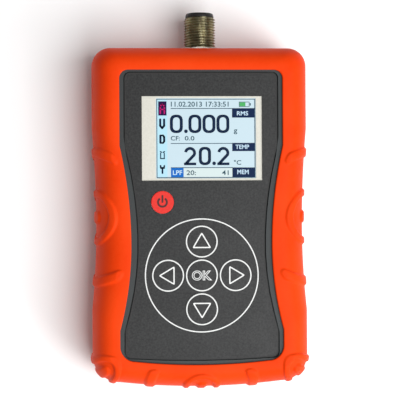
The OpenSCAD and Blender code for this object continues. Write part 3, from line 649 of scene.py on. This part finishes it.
def boot_skin():
    """Rows of points of the outer skin, with its ridges."""
    levels = boot_levels()
    heights = np.array([z for z, inset in levels])
    insets = np.array([inset for z, inset in levels])
    rows = np.stack([level(housing_outline(inset), z) for z, inset in levels])
    along = np.roll(rows, -1, 1) - np.roll(rows, 1, 1)
    upward = np.gradient(rows, axis=0)
    normals = np.cross(along, upward)
    normals /= np.maximum(TINY, np.linalg.norm(normals, axis=2, keepdims=True))
    middle_row = int(np.argmin(np.abs(heights - BOOT_DEPTH / 2)))
    arc = np.concatenate([[0.0], np.cumsum(np.hypot(np.diff(heights), np.diff(insets)))])
    arc = np.abs(arc - arc[middle_row])
    relief = ridge_relief(rows, arc[:, None] + 0 * rows[..., 0])
    rows = rows + normals * relief[..., None]
    rows[..., 0] = np.clip(rows[..., 0], SIDE_MARGIN - BOOT_SIDE, BOOT_SIDE - SIDE_MARGIN)
    rows[..., 2] = np.minimum(rows[..., 2], BOOT_DEPTH - TOP_MARGIN)
    return rows


def boot_piece():
    """The boot as one closed shell: skin with ridges, rolled lip, inside, and the opening in its back."""
    edge = [level(housing_outline(inset), z)[None] for inset, z in LIP_LEVELS + INSIDE_LEVELS]
    back = [level(outline(BACK_HALF + grow, 0, BACK_TOP + grow, BACK_BOTTOM + grow, 0, BACK_CORNER,
                          BACK_CORNER), z)[None] for z, grow in BACK_LEVELS]
    rows = np.concatenate([boot_skin()] + edge + back)
    points = rows.reshape(-1, 3) + np.array([0, MID_Y, 0])
    obj = mesh_object("boot", points, grid_faces(len(rows), rows.shape[1], True, True))
    bpy.context.view_layer.update()
    hole = hole_cutter()
    cut = obj.modifiers.new("hole", "BOOLEAN")
    cut.object = hole
    cut.solver = "EXACT"
    apply_modifiers(obj)
    bpy.data.objects.remove(hole)
    sharpen(obj, BOOT_SHARP)
    return obj


def hole_cutter():
    """A round plug through the boot's upper end, for the connector."""
    points = []
    for y in (SEAT_Y - HOLE_INWARD, high("rubber_boot")[1] + HOLE_OUTWARD):
        for k in range(HOLE_STEPS):
            a = 2 * math.pi * k / HOLE_STEPS
            points.append((AXIS_X + HOLE_R * math.sin(a), y, AXIS_Z + HOLE_R * math.cos(a)))
    faces = grid_faces(2, HOLE_STEPS)
    faces.append(tuple(range(HOLE_STEPS)))
    faces.append(tuple(range(2 * HOLE_STEPS - 1, HOLE_STEPS - 1, -1)))
    obj = mesh_object("hole_cutter", points, faces, smooth=False)
    face_outward(obj)
    return obj


# Printed marks

INK = 0.02
BAR_STEPS = 8
LEAST_MITRE = 0.5

# The overlay's outline, which is the part's
OVERLAY_BORDER = 12.4
OVERLAY_CUT = 4.9
OVERLAY_TOP_MARGIN = 10.7
OVERLAY_BOTTOM_MARGIN = 11.2
OVERLAY_BULGE = 1.0
OVERLAY_CORNER = 2.2
OVERLAY_COUNTS = (20, 10, 120, 10, 4)
# A black band along the overlay's edge is painted shade of the gap between the overlay and the case: its
# outer inset, inner inset and thickness
GAP_SHADE_OUTSIDE = 0.02
GAP_SHADE_INSIDE = 0.40
GAP_SHADE_INK = 1.2 * INK

# The rings round the keypad and the keys, the arrows and the word on them
KEYPAD_R = 21.0
KEYPAD_LINE = 0.42
KEYPAD_STEPS = 160
KEY_LINE = 0.44
KEY_LINE_INSET = 0.02
ARROW_TURNS = {"right": 0, "up": 90, "left": 180, "down": 270}
ARROW_TIP = 3.55
ARROW_FOOT = -2.40
ARROW_HALF = 3.55
ARROW_LINE = 0.46
ARROW_ROUND = 0.45
ARROW_INNER_ROUND = 0.2
OK_HALF_WIDTH = 3.75
OK_HALF_HEIGHT = 1.85
OK_RISE = 0.05
OK_BOLD = 0.015
OK_LINE = 0.032

# The power symbol: an open ring and a stroke
POWER_R = 1.62
POWER_LINE = 0.74
POWER_GAP = 34
POWER_STEPS = 40
POWER_STROKE = 0.68
POWER_STROKE_FOOT = 0.1
POWER_STROKE_TOP = 2.3


def plate(x0, y0, x1, y1, z, t):
    """A thin plate between two corners."""
    points = [(x, y, h) for h in (z, z + t) for x, y in ((x0, y0), (x1, y0), (x1, y1), (x0, y1))]
    faces = [(3, 2, 1, 0), (4, 5, 6, 7), (0, 1, 5, 4), (1, 2, 6, 5), (2, 3, 7, 6), (3, 0, 4, 7)]
    return mesh_object("plate", points, faces, smooth=False)


def loop_band(outer, inner, z, t):
    """A flat band between two closed outlines with the same number of points."""
    n = len(outer)
    points = [(*p, z + t) for p in outer] + [(*p, z + t) for p in inner]
    points += [(*p, z) for p in inner] + [(*p, z) for p in outer]
    return mesh_object("band", points, grid_faces(4, n, True, True), smooth=False)


def circle(x, y, r, steps=96):
    return [(x + r * math.cos(2 * math.pi * k / steps), y + r * math.sin(2 * math.pi * k / steps))
            for k in range(steps)]


def ring(x, y, r, line, z, t, steps=96):
    return loop_band(circle(x, y, r, steps), circle(x, y, r - line, steps), z, t)


def rounded(corners, r, steps=6):
    """An outline of corner points with round corners."""
    out = []
    n = len(corners)
    for i in range(n):
        before, here, after = (Vector(corners[(i + k) % n]) for k in (-1, 0, 1))
        u = (before - here).normalized()
        v = (after - here).normalized()
        reach = r / math.tan(math.acos(max(-1, min(1, u.dot(v)))) / 2)
        a = here + u * reach
        b = here + v * reach
        for k in range(steps + 1):
            s = k / steps
            out.append(tuple((1 - s) ** 2 * a + 2 * s * (1 - s) * here + s * s * b))
    return out


def shrunk(corners, inset):
    """A convex outline's corners moved in by an inset."""
    centre = sum((Vector(c) for c in corners), Vector((0, 0))) / len(corners)
    out = []
    n = len(corners)
    for i in range(n):
        before, here, after = (Vector(corners[(i + k) % n]) for k in (-1, 0, 1))
        u = (before - here).normalized()
        v = (after - here).normalized()
        half = math.acos(max(-1, min(1, u.dot(v)))) / 2
        inward = (u + v).normalized()
        if inward.dot(centre - here) < 0:
            inward = -inward
        out.append(tuple(here + inward * inset / math.sin(half)))
    return out


def words(text, x0, y0, x1, y1, z, t, bold, line=0.0):
    """Lettering that fills a box, solid or drawn as a line."""
    curve = bpy.data.curves.new("words", "FONT")
    curve.body = text
    curve.size = 1
    curve.offset = bold
    curve.resolution_u = 4
    if line:
        curve.fill_mode = "NONE"
        curve.bevel_depth = line
        curve.bevel_resolution = 1
    else:
        curve.extrude = 0.5
    holder = new_object("words", curve)
    bpy.context.view_layer.update()
    graph = bpy.context.evaluated_depsgraph_get()
    mesh = bpy.data.meshes.new_from_object(holder.evaluated_get(graph))
    bpy.data.objects.remove(holder)
    count = len(mesh.vertices)
    co = np.zeros(count * 3)
    mesh.vertices.foreach_get("co", co)
    co = co.reshape(-1, 3)
    lowest, highest = co.min(0), co.max(0)
    share = (co - lowest) / np.maximum(TINY, highest - lowest)
    placed = np.stack([x0 + (x1 - x0) * share[:, 0], y0 + (y1 - y0) * share[:, 1], z + t * share[:, 2]], 1)
    mesh.vertices.foreach_set("co", (placed * MM).ravel())
    mesh.update()
    return new_object("words", mesh)


def bar(x0, y0, x1, y1, width, z, t):
    """A straight stroke with round ends."""
    a = Vector((x0, y0))
    b = Vector((x1, y1))
    turn = math.atan2(b.y - a.y, b.x - a.x)
    r = width / 2
    points = []
    for end, start in ((b, -90), (a, 90)):
        for k in range(BAR_STEPS + 1):
            angle = turn + math.radians(start + 180 * k / BAR_STEPS)
            points.append((end.x + r * math.cos(angle), end.y + r * math.sin(angle)))
    return filled(points, z, t)


def filled(outline_points, z, t):
    """A flat plate of an outline."""
    n = len(outline_points)
    points = [(*p, z) for p in outline_points] + [(*p, z + t) for p in outline_points]
    faces = grid_faces(2, n)
    faces.append(tuple(range(n - 1, -1, -1)))
    faces.append(tuple(range(n, 2 * n)))
    return mesh_object("plate", points, faces, smooth=False)


def ribbon(path, width, z, t):
    """A flat stroke of an even width along a path."""
    path = [Vector(p) for p in path]
    last = len(path) - 1
    left, right = [], []
    for i, here in enumerate(path):
        ahead = (path[min(i + 1, last)] - path[min(i, last - 1)]).normalized()
        behind = (path[max(i, 1)] - path[max(i - 1, 0)]).normalized()
        middle_way = (ahead + behind).normalized()
        across = Vector((-middle_way.y, middle_way.x))
        reach = width / 2 / max(LEAST_MITRE, across.dot(Vector((-ahead.y, ahead.x))))
        left.append(tuple(here + across * reach))
        right.append(tuple(here - across * reach))
    return filled((left + right[::-1])[::-1], z, t)


def overlay_outline(inset):
    """The overlay's outline in the frame, moved in."""
    corner = OVERLAY_CORNER - inset
    return outline(BOOT_HALF - OVERLAY_BORDER - inset, OVERLAY_CUT, BOOT_TOP - OVERLAY_TOP_MARGIN - inset,
                   BOOT_TOP - OVERLAY_BOTTOM_MARGIN - inset, OVERLAY_BULGE, corner, corner,
                   counts=OVERLAY_COUNTS) + np.array([0, MID_Y])


def overlay_marks(paints):
    """The big ring round the keypad, and a black band along the overlay's edge, which is painted shade of the
    gap round the overlay.
    """
    centre = middle("key_ok")
    big = ring(centre[0], centre[1], KEYPAD_R, KEYPAD_LINE, OVERLAY_TOP, INK, KEYPAD_STEPS)
    big.name = "keypad_ring"
    finish_piece(big, paints["pad_ink"])
    # Painted shade: a black band along the overlay's edge stands for the shade in the gap round the overlay
    edge = loop_band(overlay_outline(GAP_SHADE_OUTSIDE), overlay_outline(GAP_SHADE_INSIDE), OVERLAY_TOP - INK, GAP_SHADE_INK)
    edge.name = "overlay_gap_shade"
    finish_piece(edge, paints["seal_rubber"])


def key_marks(paints):
    """The ring and the arrow or word on each key of the keypad."""
    for key in KEYS[:-1]:
        here = middle("key_" + key)
        r = (high("key_" + key)[0] - low("key_" + key)[0]) / 2
        marks = [ring(here[0], here[1], r - KEY_LINE_INSET, KEY_LINE, KEY_TOP, INK)]
        if key in ARROW_TURNS:
            marks.append(arrow(here, math.radians(ARROW_TURNS[key])))
        else:
            half = np.array([OK_HALF_WIDTH, OK_HALF_HEIGHT])
            marks.append(words("OK", *(here[:2] - half), *(here[:2] + half), KEY_TOP, OK_RISE, OK_BOLD,
                               OK_LINE))
        finish_piece(join("mark_" + key, marks), paints["pad_ink"], "button_" + key)


def power_mark(paints):
    """The open ring and the stroke on the power key."""
    here = middle("key_power")
    span = 360 - 2 * POWER_GAP
    turns = [math.radians(POWER_GAP + span * k / POWER_STEPS) for k in range(POWER_STEPS + 1)]
    path = [(here[0] + POWER_R * math.sin(a), here[1] + POWER_R * math.cos(a)) for a in turns]
    symbol = ribbon(path, POWER_LINE, KEY_TOP, INK)
    stroke = bar(here[0], here[1] + POWER_STROKE_FOOT, here[0], here[1] + POWER_STROKE_TOP, POWER_STROKE,
                 KEY_TOP, INK)
    finish_piece(join("mark_power", [symbol, stroke]), paints["power_ink"], "button_power")


def arrow(here, turn):
    """An outlined triangle that points away from the keypad's middle."""
    corners = [(ARROW_TIP, 0), (ARROW_FOOT, ARROW_HALF), (ARROW_FOOT, -ARROW_HALF)]
    outer = rounded(corners, ARROW_ROUND)
    inner = rounded(shrunk(corners, ARROW_LINE), ARROW_INNER_ROUND)

    def turned(points):
        c, s = math.cos(turn), math.sin(turn)
        return [(here[0] + c * x - s * y, here[1] + s * x + c * y) for x, y in points]

    return loop_band(turned(outer), turned(inner), KEY_TOP, INK)


# The display

PICTURE_W = 36.8
PICTURE_H = 29.4
PICTURE_SCALE = 0.992
PICTURE_X = 1.80
PICTURE_Y = 28.95
PICTURE_Z = 33.86
PICTURE_LEFT = PICTURE_X - PICTURE_SCALE * PICTURE_W / 2
PICTURE_TOP = MID_Y + PICTURE_Y + PICTURE_SCALE * PICTURE_H / 2
FRAME_GAP = 0.25
FRAME_ROUND = 0.4
FRAME_INNER_ROUND = 0.3

# Lettering. A two's head is in degrees.
STROKE = 1.12
NOUGHT_STEPS = 10
POINT_STEPS = 24
TWO_HEAD = range(170, -36, -15)
BOX_BOLD = 0.02
SMALL_BOLD = 0.012

# A share of a nought's width, and then shares of STROKE
NOUGHT_ROUND = 0.48
NOUGHT_INNER_LESS = 0.75
FLAT_STROKE = 0.85
TWO_STROKE = 0.95
TWO_NECK = (0.7, 0.6)
POINT_R = 0.6

# The picture's layout. Places are measured from its left and its top.
# A box is (left, top, right, foot).
EDGE = 0.26
GROUND_EDGE = 0.3
COLUMN = (GROUND_EDGE, GROUND_EDGE, 4.0, PICTURE_H - GROUND_EDGE)
STRIP = (10.0, 25.8, 28.2, PICTURE_H - GROUND_EDGE)
RULE_LEFT = 5.3
RULE_RIGHT = 28.4
RULE_LINE = 0.24
RULES = (3.5, 16.5, 25.5)
BOX_RIGHT = PICTURE_W - EDGE
BOXES = ((28.2, 3.5, BOX_RIGHT, 7.0), (28.2, 16.45, BOX_RIGHT, 19.5),
         (28.2, 25.6, BOX_RIGHT, PICTURE_H - EDGE))
BLUE_BOX = (5.35, 25.7, 10.0, PICTURE_H - EDGE)
PLUM_BOX = (0.7, 0.95, 3.75, 6.2)
BOX_WORDS = (("RMS", 30.0, 4.6, 34.2, 6.2), ("TEMP", 29.4, 17.1, 34.5, 18.7), ("MEM", 30.0, 26.4, 34.3, 28.1),
             ("LPF", 6.0, 26.6, 9.5, 28.3))
SMALL_WORDS = (("11.02.2013 17:33:51", 5.4, 1.05, 26.9, 2.95), ("CF:", 5.3, 13.85, 8.7, 15.5),
               ("0.0", 10.5, 13.85, 14.1, 15.5), ("g", 28.8, 11.4, 30.1, 13.2),
               ("°C", 28.8, 22.8, 31.5, 24.6), ("20:", 11.1, 26.6, 14.6, 28.4),
               ("41", 24.3, 26.6, 26.8, 28.4))
READING_TOP = 5.9
READING_FOOT = 12.75
READING_NOUGHTS = (5.0, 11.9, 17.15, 22.35)
READING_WIDTH = 4.8
READING_POINT = 10.95
SECOND_TOP = 17.9
SECOND_FOOT = 24.7
SECOND_NOUGHT = (15.7, 20.25)
SECOND_TWOS = ((10.2, 14.7), (22.6, 27.1))
SECOND_POINT = 21.4
CELL_FILL = (31.05, 1.35, 33.2, 2.75)

# Strokes of the signs: (x, y) of the start, (x, y) of the end, width
LETTER_A = ((1.45, 5.4, 1.45, 2.9, 0.5), (2.95, 5.4, 2.95, 2.9, 0.5), (1.45, 2.9, 1.9, 2.1, 0.5),
            (2.95, 2.9, 2.5, 2.1, 0.5), (1.9, 2.1, 2.5, 2.1, 0.5), (1.45, 3.95, 2.95, 3.95, 0.42))
LETTER_V = ((1.4, 7.7, 1.4, 10.0, 0.8), (2.85, 7.7, 2.85, 10.0, 0.8), (1.4, 10.0, 2.12, 10.9, 0.8),
            (2.85, 10.0, 2.12, 10.9, 0.8))
LETTER_D = ((1.45, 13.7, 1.45, 16.3, 0.8), (1.45, 13.6, 2.4, 13.6, 0.6), (2.4, 13.6, 2.85, 14.2, 0.7),
            (2.85, 14.2, 2.85, 15.8, 0.8), (2.85, 15.8, 2.4, 16.4, 0.7), (2.4, 16.4, 1.45, 16.4, 0.6))
LETTER_Y = ((2.15, 25.8, 2.15, 27.6, 0.65), (1.45, 24.9, 1.55, 25.6, 0.6), (2.85, 24.9, 2.75, 25.6, 0.6),
            (1.6, 25.7, 2.7, 25.7, 0.7))
JAR = ((1.5, 20.2, 1.5, 22.2, 0.42), (2.85, 20.2, 2.85, 22.2, 0.42), (1.5, 22.2, 2.85, 22.2, 0.42),
       (1.4, 19.6, 1.9, 19.9, 0.42), (2.95, 19.6, 2.45, 19.9, 0.42))
CELL = ((30.9, 1.2, 34.6, 1.2, 0.2), (30.9, 2.9, 34.6, 2.9, 0.2), (30.9, 1.2, 30.9, 2.9, 0.2),
        (34.6, 1.2, 34.6, 2.9, 0.2), (35.0, 1.75, 35.0, 2.35, 0.4))

# Layers of ink over the lit ground
GROUND_LAYER = 0
INK_LAYER = 1
BOX_LAYER = 2
BOX_INK_LAYER = 3


def picture_box(gap):
    """The picture's (left, foot, right, top) on the display, moved out by a gap."""
    right = PICTURE_LEFT + PICTURE_SCALE * PICTURE_W
    foot = PICTURE_TOP - PICTURE_SCALE * PICTURE_H
    return PICTURE_LEFT - gap, foot - gap, right + gap, PICTURE_TOP + gap


def box_outline(x0, y0, x1, y1, r, steps=6):
    return rounded([(x0, y0), (x1, y0), (x1, y1), (x0, y1)], r, steps)


def on_picture(x0, y0, x1, y1):
    """A layout box as (left, foot, right, top) in the frame."""
    return PICTURE_LEFT + x0, PICTURE_TOP - y1, PICTURE_LEFT + x1, PICTURE_TOP - y0


def area(box, layer):
    return plate(*on_picture(*box), PICTURE_Z + layer * INK, INK)


def label(text, box, bold, layer):
    return words(text, *on_picture(*box), PICTURE_Z + layer * INK, INK, bold)


def stroke(x0, y0, x1, y1, width, layer=INK_LAYER):
    return bar(PICTURE_LEFT + x0, PICTURE_TOP - y0, PICTURE_LEFT + x1, PICTURE_TOP - y1, width,
               PICTURE_Z + layer * INK, INK)


def nought(x0, y0, x1, y1):
    """A large nought: a band with straight sides and round ends."""
    reach = (x1 - x0) * NOUGHT_ROUND
    flat = FLAT_STROKE * STROKE
    outer = box_outline(*on_picture(x0, y0, x1, y1), reach, NOUGHT_STEPS)
    inner = box_outline(*on_picture(x0 + STROKE, y0 + flat, x1 - STROKE, y1 - flat),
                        reach - NOUGHT_INNER_LESS * STROKE, NOUGHT_STEPS)
    return loop_band(outer, inner, PICTURE_Z + INK, INK)


def two(x0, y0, x1, y1):
    """A large two: a round head and slanting neck, and a flat foot."""
    left, foot, right, top = on_picture(x0, y0, x1, y1)
    r = (x1 - x0 - STROKE) / 2
    x = (left + right) / 2
    y = top - STROKE / 2 - r
    head = [(x + r * math.cos(math.radians(a)), y + r * math.sin(math.radians(a))) for a in TWO_HEAD]
    neck = (left + TWO_NECK[0] * STROKE, foot + TWO_NECK[1] * STROKE)
    return [ribbon(head + [neck], STROKE * TWO_STROKE, PICTURE_Z + INK, INK),
            plate(left, foot, right, foot + FLAT_STROKE * STROKE, PICTURE_Z + INK, INK)]


def point(x, y):
    r = POINT_R * STROKE
    return filled(circle(PICTURE_LEFT + x, PICTURE_TOP - y + r, r, POINT_STEPS), PICTURE_Z + INK, INK)


def show(name, paint, objects):
    """Makes one piece of the display's picture, brought from the layout's units to its size there."""
    obj = join(name, objects)
    at = Vector((PICTURE_LEFT, PICTURE_TOP)) * MM
    for vertex in obj.data.vertices:
        vertex.co.xy = at + (vertex.co.xy - at) * PICTURE_SCALE
    finish_piece(obj, paint)


def window_frame(paints):
    """The white printed frame, which stands for the window, and the lit ground in it."""
    window_low, window_high = low("display_window"), high("display_window")
    outer = box_outline(*window_low[:2], *window_high[:2], FRAME_ROUND)
    inner = box_outline(*picture_box(FRAME_GAP), FRAME_INNER_ROUND)
    border = loop_band(outer, inner, window_low[2], window_high[2] - window_low[2])
    border.name = "window_frame"
    finish_piece(border, paints["window_clear"], replaces=("display_window",))
    base = plate(*picture_box(FRAME_GAP), window_low[2], PICTURE_Z - window_low[2])
    base.name = "lcd_base"
    finish_piece(base, paints["lcd_back"])


def picture_ground(paints):
    """Tinted areas, edge, rules and filled boxes with their words."""
    w, h = PICTURE_W, PICTURE_H
    show("lcd_column", paints["lcd_column"], [area(COLUMN, GROUND_LAYER)])
    show("lcd_strip", paints["lcd_warm"], [area(STRIP, GROUND_LAYER)])
    edges = ((0, 0, w, EDGE), (0, h - EDGE, w, h), (0, EDGE, EDGE, h - EDGE), (w - EDGE, EDGE, w, h - EDGE))
    rules = tuple((RULE_LEFT, y, RULE_RIGHT, y + RULE_LINE) for y in RULES)
    show("lcd_lines", paints["lcd_line"], [area(box, INK_LAYER) for box in edges + rules])
    show("lcd_boxes", paints["lcd_navy"], [area(box, BOX_LAYER) for box in BOXES])
    show("lcd_box_blue", paints["lcd_blue"], [area(BLUE_BOX, BOX_LAYER)])
    names = [label(text, box, BOX_BOLD, BOX_INK_LAYER) for text, *box in BOX_WORDS]
    show("lcd_box_words", paints["lcd_light"], names)


def picture_readings(paints):
    """The two large readings."""
    first = [nought(x, READING_TOP, x + READING_WIDTH, READING_FOOT) for x in READING_NOUGHTS]
    show("lcd_reading", paints["lcd_dark"], first + [point(READING_POINT, READING_FOOT)])
    second = [nought(SECOND_NOUGHT[0], SECOND_TOP, SECOND_NOUGHT[1], SECOND_FOOT)]
    for x0, x1 in SECOND_TWOS:
        second += two(x0, SECOND_TOP, x1, SECOND_FOOT)
    show("lcd_second_reading", paints["lcd_dark"], second + [point(SECOND_POINT, SECOND_FOOT)])


def picture_signs(paints):
    """Small words, the column's letters and jar, and the battery sign."""
    small = [label(text, box, SMALL_BOLD, INK_LAYER) for text, *box in SMALL_WORDS]
    show("lcd_small", paints["lcd_thin"], small)
    show("lcd_plum_box", paints["lcd_plum"], [area(PLUM_BOX, BOX_LAYER)])
    show("lcd_pink_a", paints["lcd_pink"], [stroke(*s, layer=BOX_INK_LAYER) for s in LETTER_A])
    show("lcd_icons", paints["lcd_dark"], [stroke(*s) for s in LETTER_V + LETTER_D + LETTER_Y])
    show("lcd_jar", paints["lcd_line"], [stroke(*s) for s in JAR])
    show("lcd_cell_edge", paints["lcd_thin"], [stroke(*s) for s in CELL])
    show("lcd_cell_fill", paints["lcd_green"], [area(CELL_FILL, INK_LAYER)])


# The connector

THREAD_START = SEAT_Y + 3.6
THREAD_END = TIP_Y - 1.5
THREAD_ROWS = 150
ON_THREAD = -1
CREST_R = 6.0
PITCH = 1.0
THREAD_DEPTH = 0.613
CREST_HALF = 0.0625
FLANK_END = 0.375
RUN_IN = 0.5
RUN_OUT = 0.7
RUN_OUT_DEEPER = 0.25
RUN_SLOPE = 1.2
SHELL_STEPS = 128
RIM_STEPS = 96

# Sections as (radius, distance from the tail) or (radius, distance back from the tip)
SHELL_TAIL = ((4.25, 0), (6.1, 0), (6.4, 0.3), (6.4, 6.0), (7.8, 6.0), (8.0, 6.2), (8.0, 7.8), (7.8, 8.0),
              (5.7, 8.0))
SHANK_END = (5.7, THREAD_START - 0.1)
SHELL_MOUTH = ((5.1, 1.48), (5.1, 0.5), (4.25, 0.5))
RIM = ((4.25, 0.5), (5.12, 0.5), (5.12, 1.46), (5.4, 1.46), (5.4, 0.95), (5.15, 0.15), (5.0, 0), (4.5, 0),
       (4.25, 0.2))


def thread_radius(radius, y, angle):
    """Radius of the right-handed thread at a place and an angle. Other rows keep their own."""
    if radius != ON_THREAD:
        return radius
    root = CREST_R - THREAD_DEPTH
    phase = ((y - THREAD_START) / PITCH - angle / (2 * math.pi)) % 1
    off = abs(phase - 0.5) * PITCH
    share = min(1.0, max(0.0, (off - CREST_HALF) / (FLANK_END - CREST_HALF)))
    r = CREST_R - THREAD_DEPTH * share
    if y > THREAD_END - RUN_OUT:
        r = min(r, root - RUN_OUT_DEEPER + (THREAD_END - y) * RUN_SLOPE)
    if y < THREAD_START + RUN_IN:
        r = min(r, root + (y - THREAD_START) * RUN_SLOPE)
    return r


def turned_piece(name, profile, steps, paint, wave=None, replaces=()):
    """A finished piece of the connector, from a section."""
    obj = lathe(name, profile, steps, wave)
    sharpen(obj, LATHE_SHARP)
    face_outward(obj)
    finish_piece(obj, paint, replaces=replaces)


def connector_piece(paints):
    """The shell with tail, flange, shank, helical thread and socket, and the dark rim of its mouth."""
    profile = [(r, TAIL_Y + y) for r, y in SHELL_TAIL] + [SHANK_END]
    length = THREAD_END - THREAD_START
    profile += [(ON_THREAD, THREAD_START + length * i / THREAD_ROWS) for i in range(THREAD_ROWS + 1)]
    profile += [(r, TIP_Y - y) for r, y in SHELL_MOUTH]
    turned_piece("threaded_shell", profile, SHELL_STEPS, paints["connector_metal"], thread_radius,
                 ("connector_shell",))
    turned_piece("mouth_rim", [(r, TIP_Y - y) for r, y in RIM], RIM_STEPS, paints["insert_plastic"])


# Every other node

SOFT_EDGES = {
    "front_case": 0.25, "battery_door": 0.25, "case_screws": 0.12,
    "graphic_overlay": 0.05, "display_tray": 0.15, "main_board": 0.1, "board_chips": 0.12,
    "board_sockets": 0.15, "board_screws": 0.08, "connector_washer": 0.1, "connector_nut": 0.15,
    "connector_insert": 0.08, "batteries": 0.25, "contact_plates": 0.06,
    **{"key_" + key: 0.08 for key in KEYS},
}
MADE_ANEW = ("rubber_boot", "connector_shell", "display_window")
LEADS = ("sensor_leads", "battery_leads")
LEAD_PAINTS = ("lead_red", "lead_black", "lead_white", "lead_blue")


def body_of_node(node):
    for body, nodes in frame["record"]["behaviour"]["bodies"].items():
        if node in nodes:
            return body
    return "meter"


def dress_nodes(paints):
    """Breaks the edges of the hard pieces, and gives every node that stays its material."""
    slots = {part["node"]: part["material_slot"] for part in frame["record"]["subparts"]}
    for node, width in SOFT_EDGES.items():
        obj = softened(node, width)
        finish_piece(obj, paints[slots[node]], body_of_node(node), (node,))
    for node, obj in frame["nodes"].items():
        if node not in SOFT_EDGES and node not in MADE_ANEW + LEADS:
            obj.data.materials.clear()
            obj.data.materials.append(paints[slots[node]])
    for node in LEADS:
        dress_leads(frame["nodes"][node].data, [paints[name] for name in LEAD_PAINTS])


def dress_leads(mesh, order):
    """Each lead of a node takes a colour of its own, by its place in the mesh."""
    mesh.materials.clear()
    for paint in order:
        mesh.materials.append(paint)
    work = bmesh.new()
    work.from_mesh(mesh)
    seen = set()
    index = 0
    for face in work.faces:
        if face in seen:
            continue
        stack = [face]
        seen.add(face)
        while stack:
            here = stack.pop()
            here.material_index = index % len(order)
            for edge in here.edges:
                for other in edge.link_faces:
                    if other not in seen:
                        seen.add(other)
                        stack.append(other)
        index += 1
    work.to_mesh(mesh)
    work.free()


# Scene

FLOOR_HALF = 1500
FLOOR_DROP = 0.05
WORLD_LIGHT = 0.28

# The camera's sensor in millimetres, its scale on the meter, and its roll in degrees
SENSOR = 36
PIXELS_PER_MM = 2.633
FRAME_PIXELS = 400
CAMERA_ROLL = 0.3

# The camera's and the lights' places, in metres. Each light: name, place, target, size, power
CAMERA_DISTANCE = 0.520
CAMERA_LEFT = 0.030
CAMERA_TARGET = (0.0004, -0.0001, 0.018)
LIGHTS = (
    ("overhead", (0.66, -0.55, 1.4), (0.66, -0.55, 0), (1.2, 1.5), 33.0),
    ("key", (0.75, -0.50, 0.55), (0, 0, 0.01), (0.5, 0.5), 5.0),
)


def place_floor(material):
    half, z = FLOOR_HALF, -FLOOR_DROP
    floor = mesh_object("floor", [(-half, -half, z), (half, -half, z), (half, half, z), (-half, half, z)],
                        [(0, 1, 2, 3)], smooth=False)
    floor.data.materials.append(material)


def area_light(name, place, target, size, power):
    data = bpy.data.lights.new(name, "AREA")
    data.shape = "RECTANGLE"
    data.size, data.size_y = size
    data.energy = power
    obj = bpy.data.objects.new(name, data)
    bpy.context.scene.collection.objects.link(obj)
    obj.location = place
    obj.rotation_euler = (Vector(target) - Vector(place)).to_track_quat("-Z", "Y").to_euler()


def light_scene():
    """A white world, a broad light overhead and a smaller one from the lower right."""
    world = bpy.data.worlds.new("studio")
    bpy.context.scene.world = world
    world.use_nodes = True
    world.node_tree.nodes["Background"].inputs["Color"].default_value = (1, 1, 1, 1)
    world.node_tree.nodes["Background"].inputs["Strength"].default_value = WORLD_LIGHT
    for light in LIGHTS:
        area_light(*light)


def place_camera():
    """Looks straight down on the meter, a little from its left, as the photograph does."""
    data = bpy.data.cameras.new("camera")
    data.sensor_width = SENSOR
    data.lens = SENSOR * PIXELS_PER_MM * CAMERA_DISTANCE / MM / FRAME_PIXELS
    data.clip_start = 0.01
    data.clip_end = 20
    camera = bpy.data.objects.new("camera", data)
    bpy.context.scene.collection.objects.link(camera)
    camera.location = (-CAMERA_LEFT, MID_Y * MM, CAMERA_TARGET[2] + CAMERA_DISTANCE)
    back = (camera.location - Vector(CAMERA_TARGET)).normalized()
    roll = math.radians(CAMERA_ROLL)
    up = Vector((math.sin(roll), math.cos(roll), 0))
    right = up.cross(back).normalized()
    camera.rotation_euler = Matrix((right, back.cross(right), back)).transposed().to_euler()
    bpy.context.scene.camera = camera


def colour_management():
    view = bpy.context.scene.view_settings
    view.view_transform = "Standard"
    view.look = "None"
    view.exposure = 0
    view.gamma = 1


paints = all_paints()
place_camera()
light_scene()
colour_management()
place_floor(floor_paint())
finish_piece(boot_piece(), paints["boot_rubber"], replaces=("rubber_boot",))
dress_nodes(paints)
overlay_marks(paints)
key_marks(paints)
power_mark(paints)
window_frame(paints)
picture_ground(paints)
picture_readings(paints)
picture_signs(paints)
connector_piece(paints)
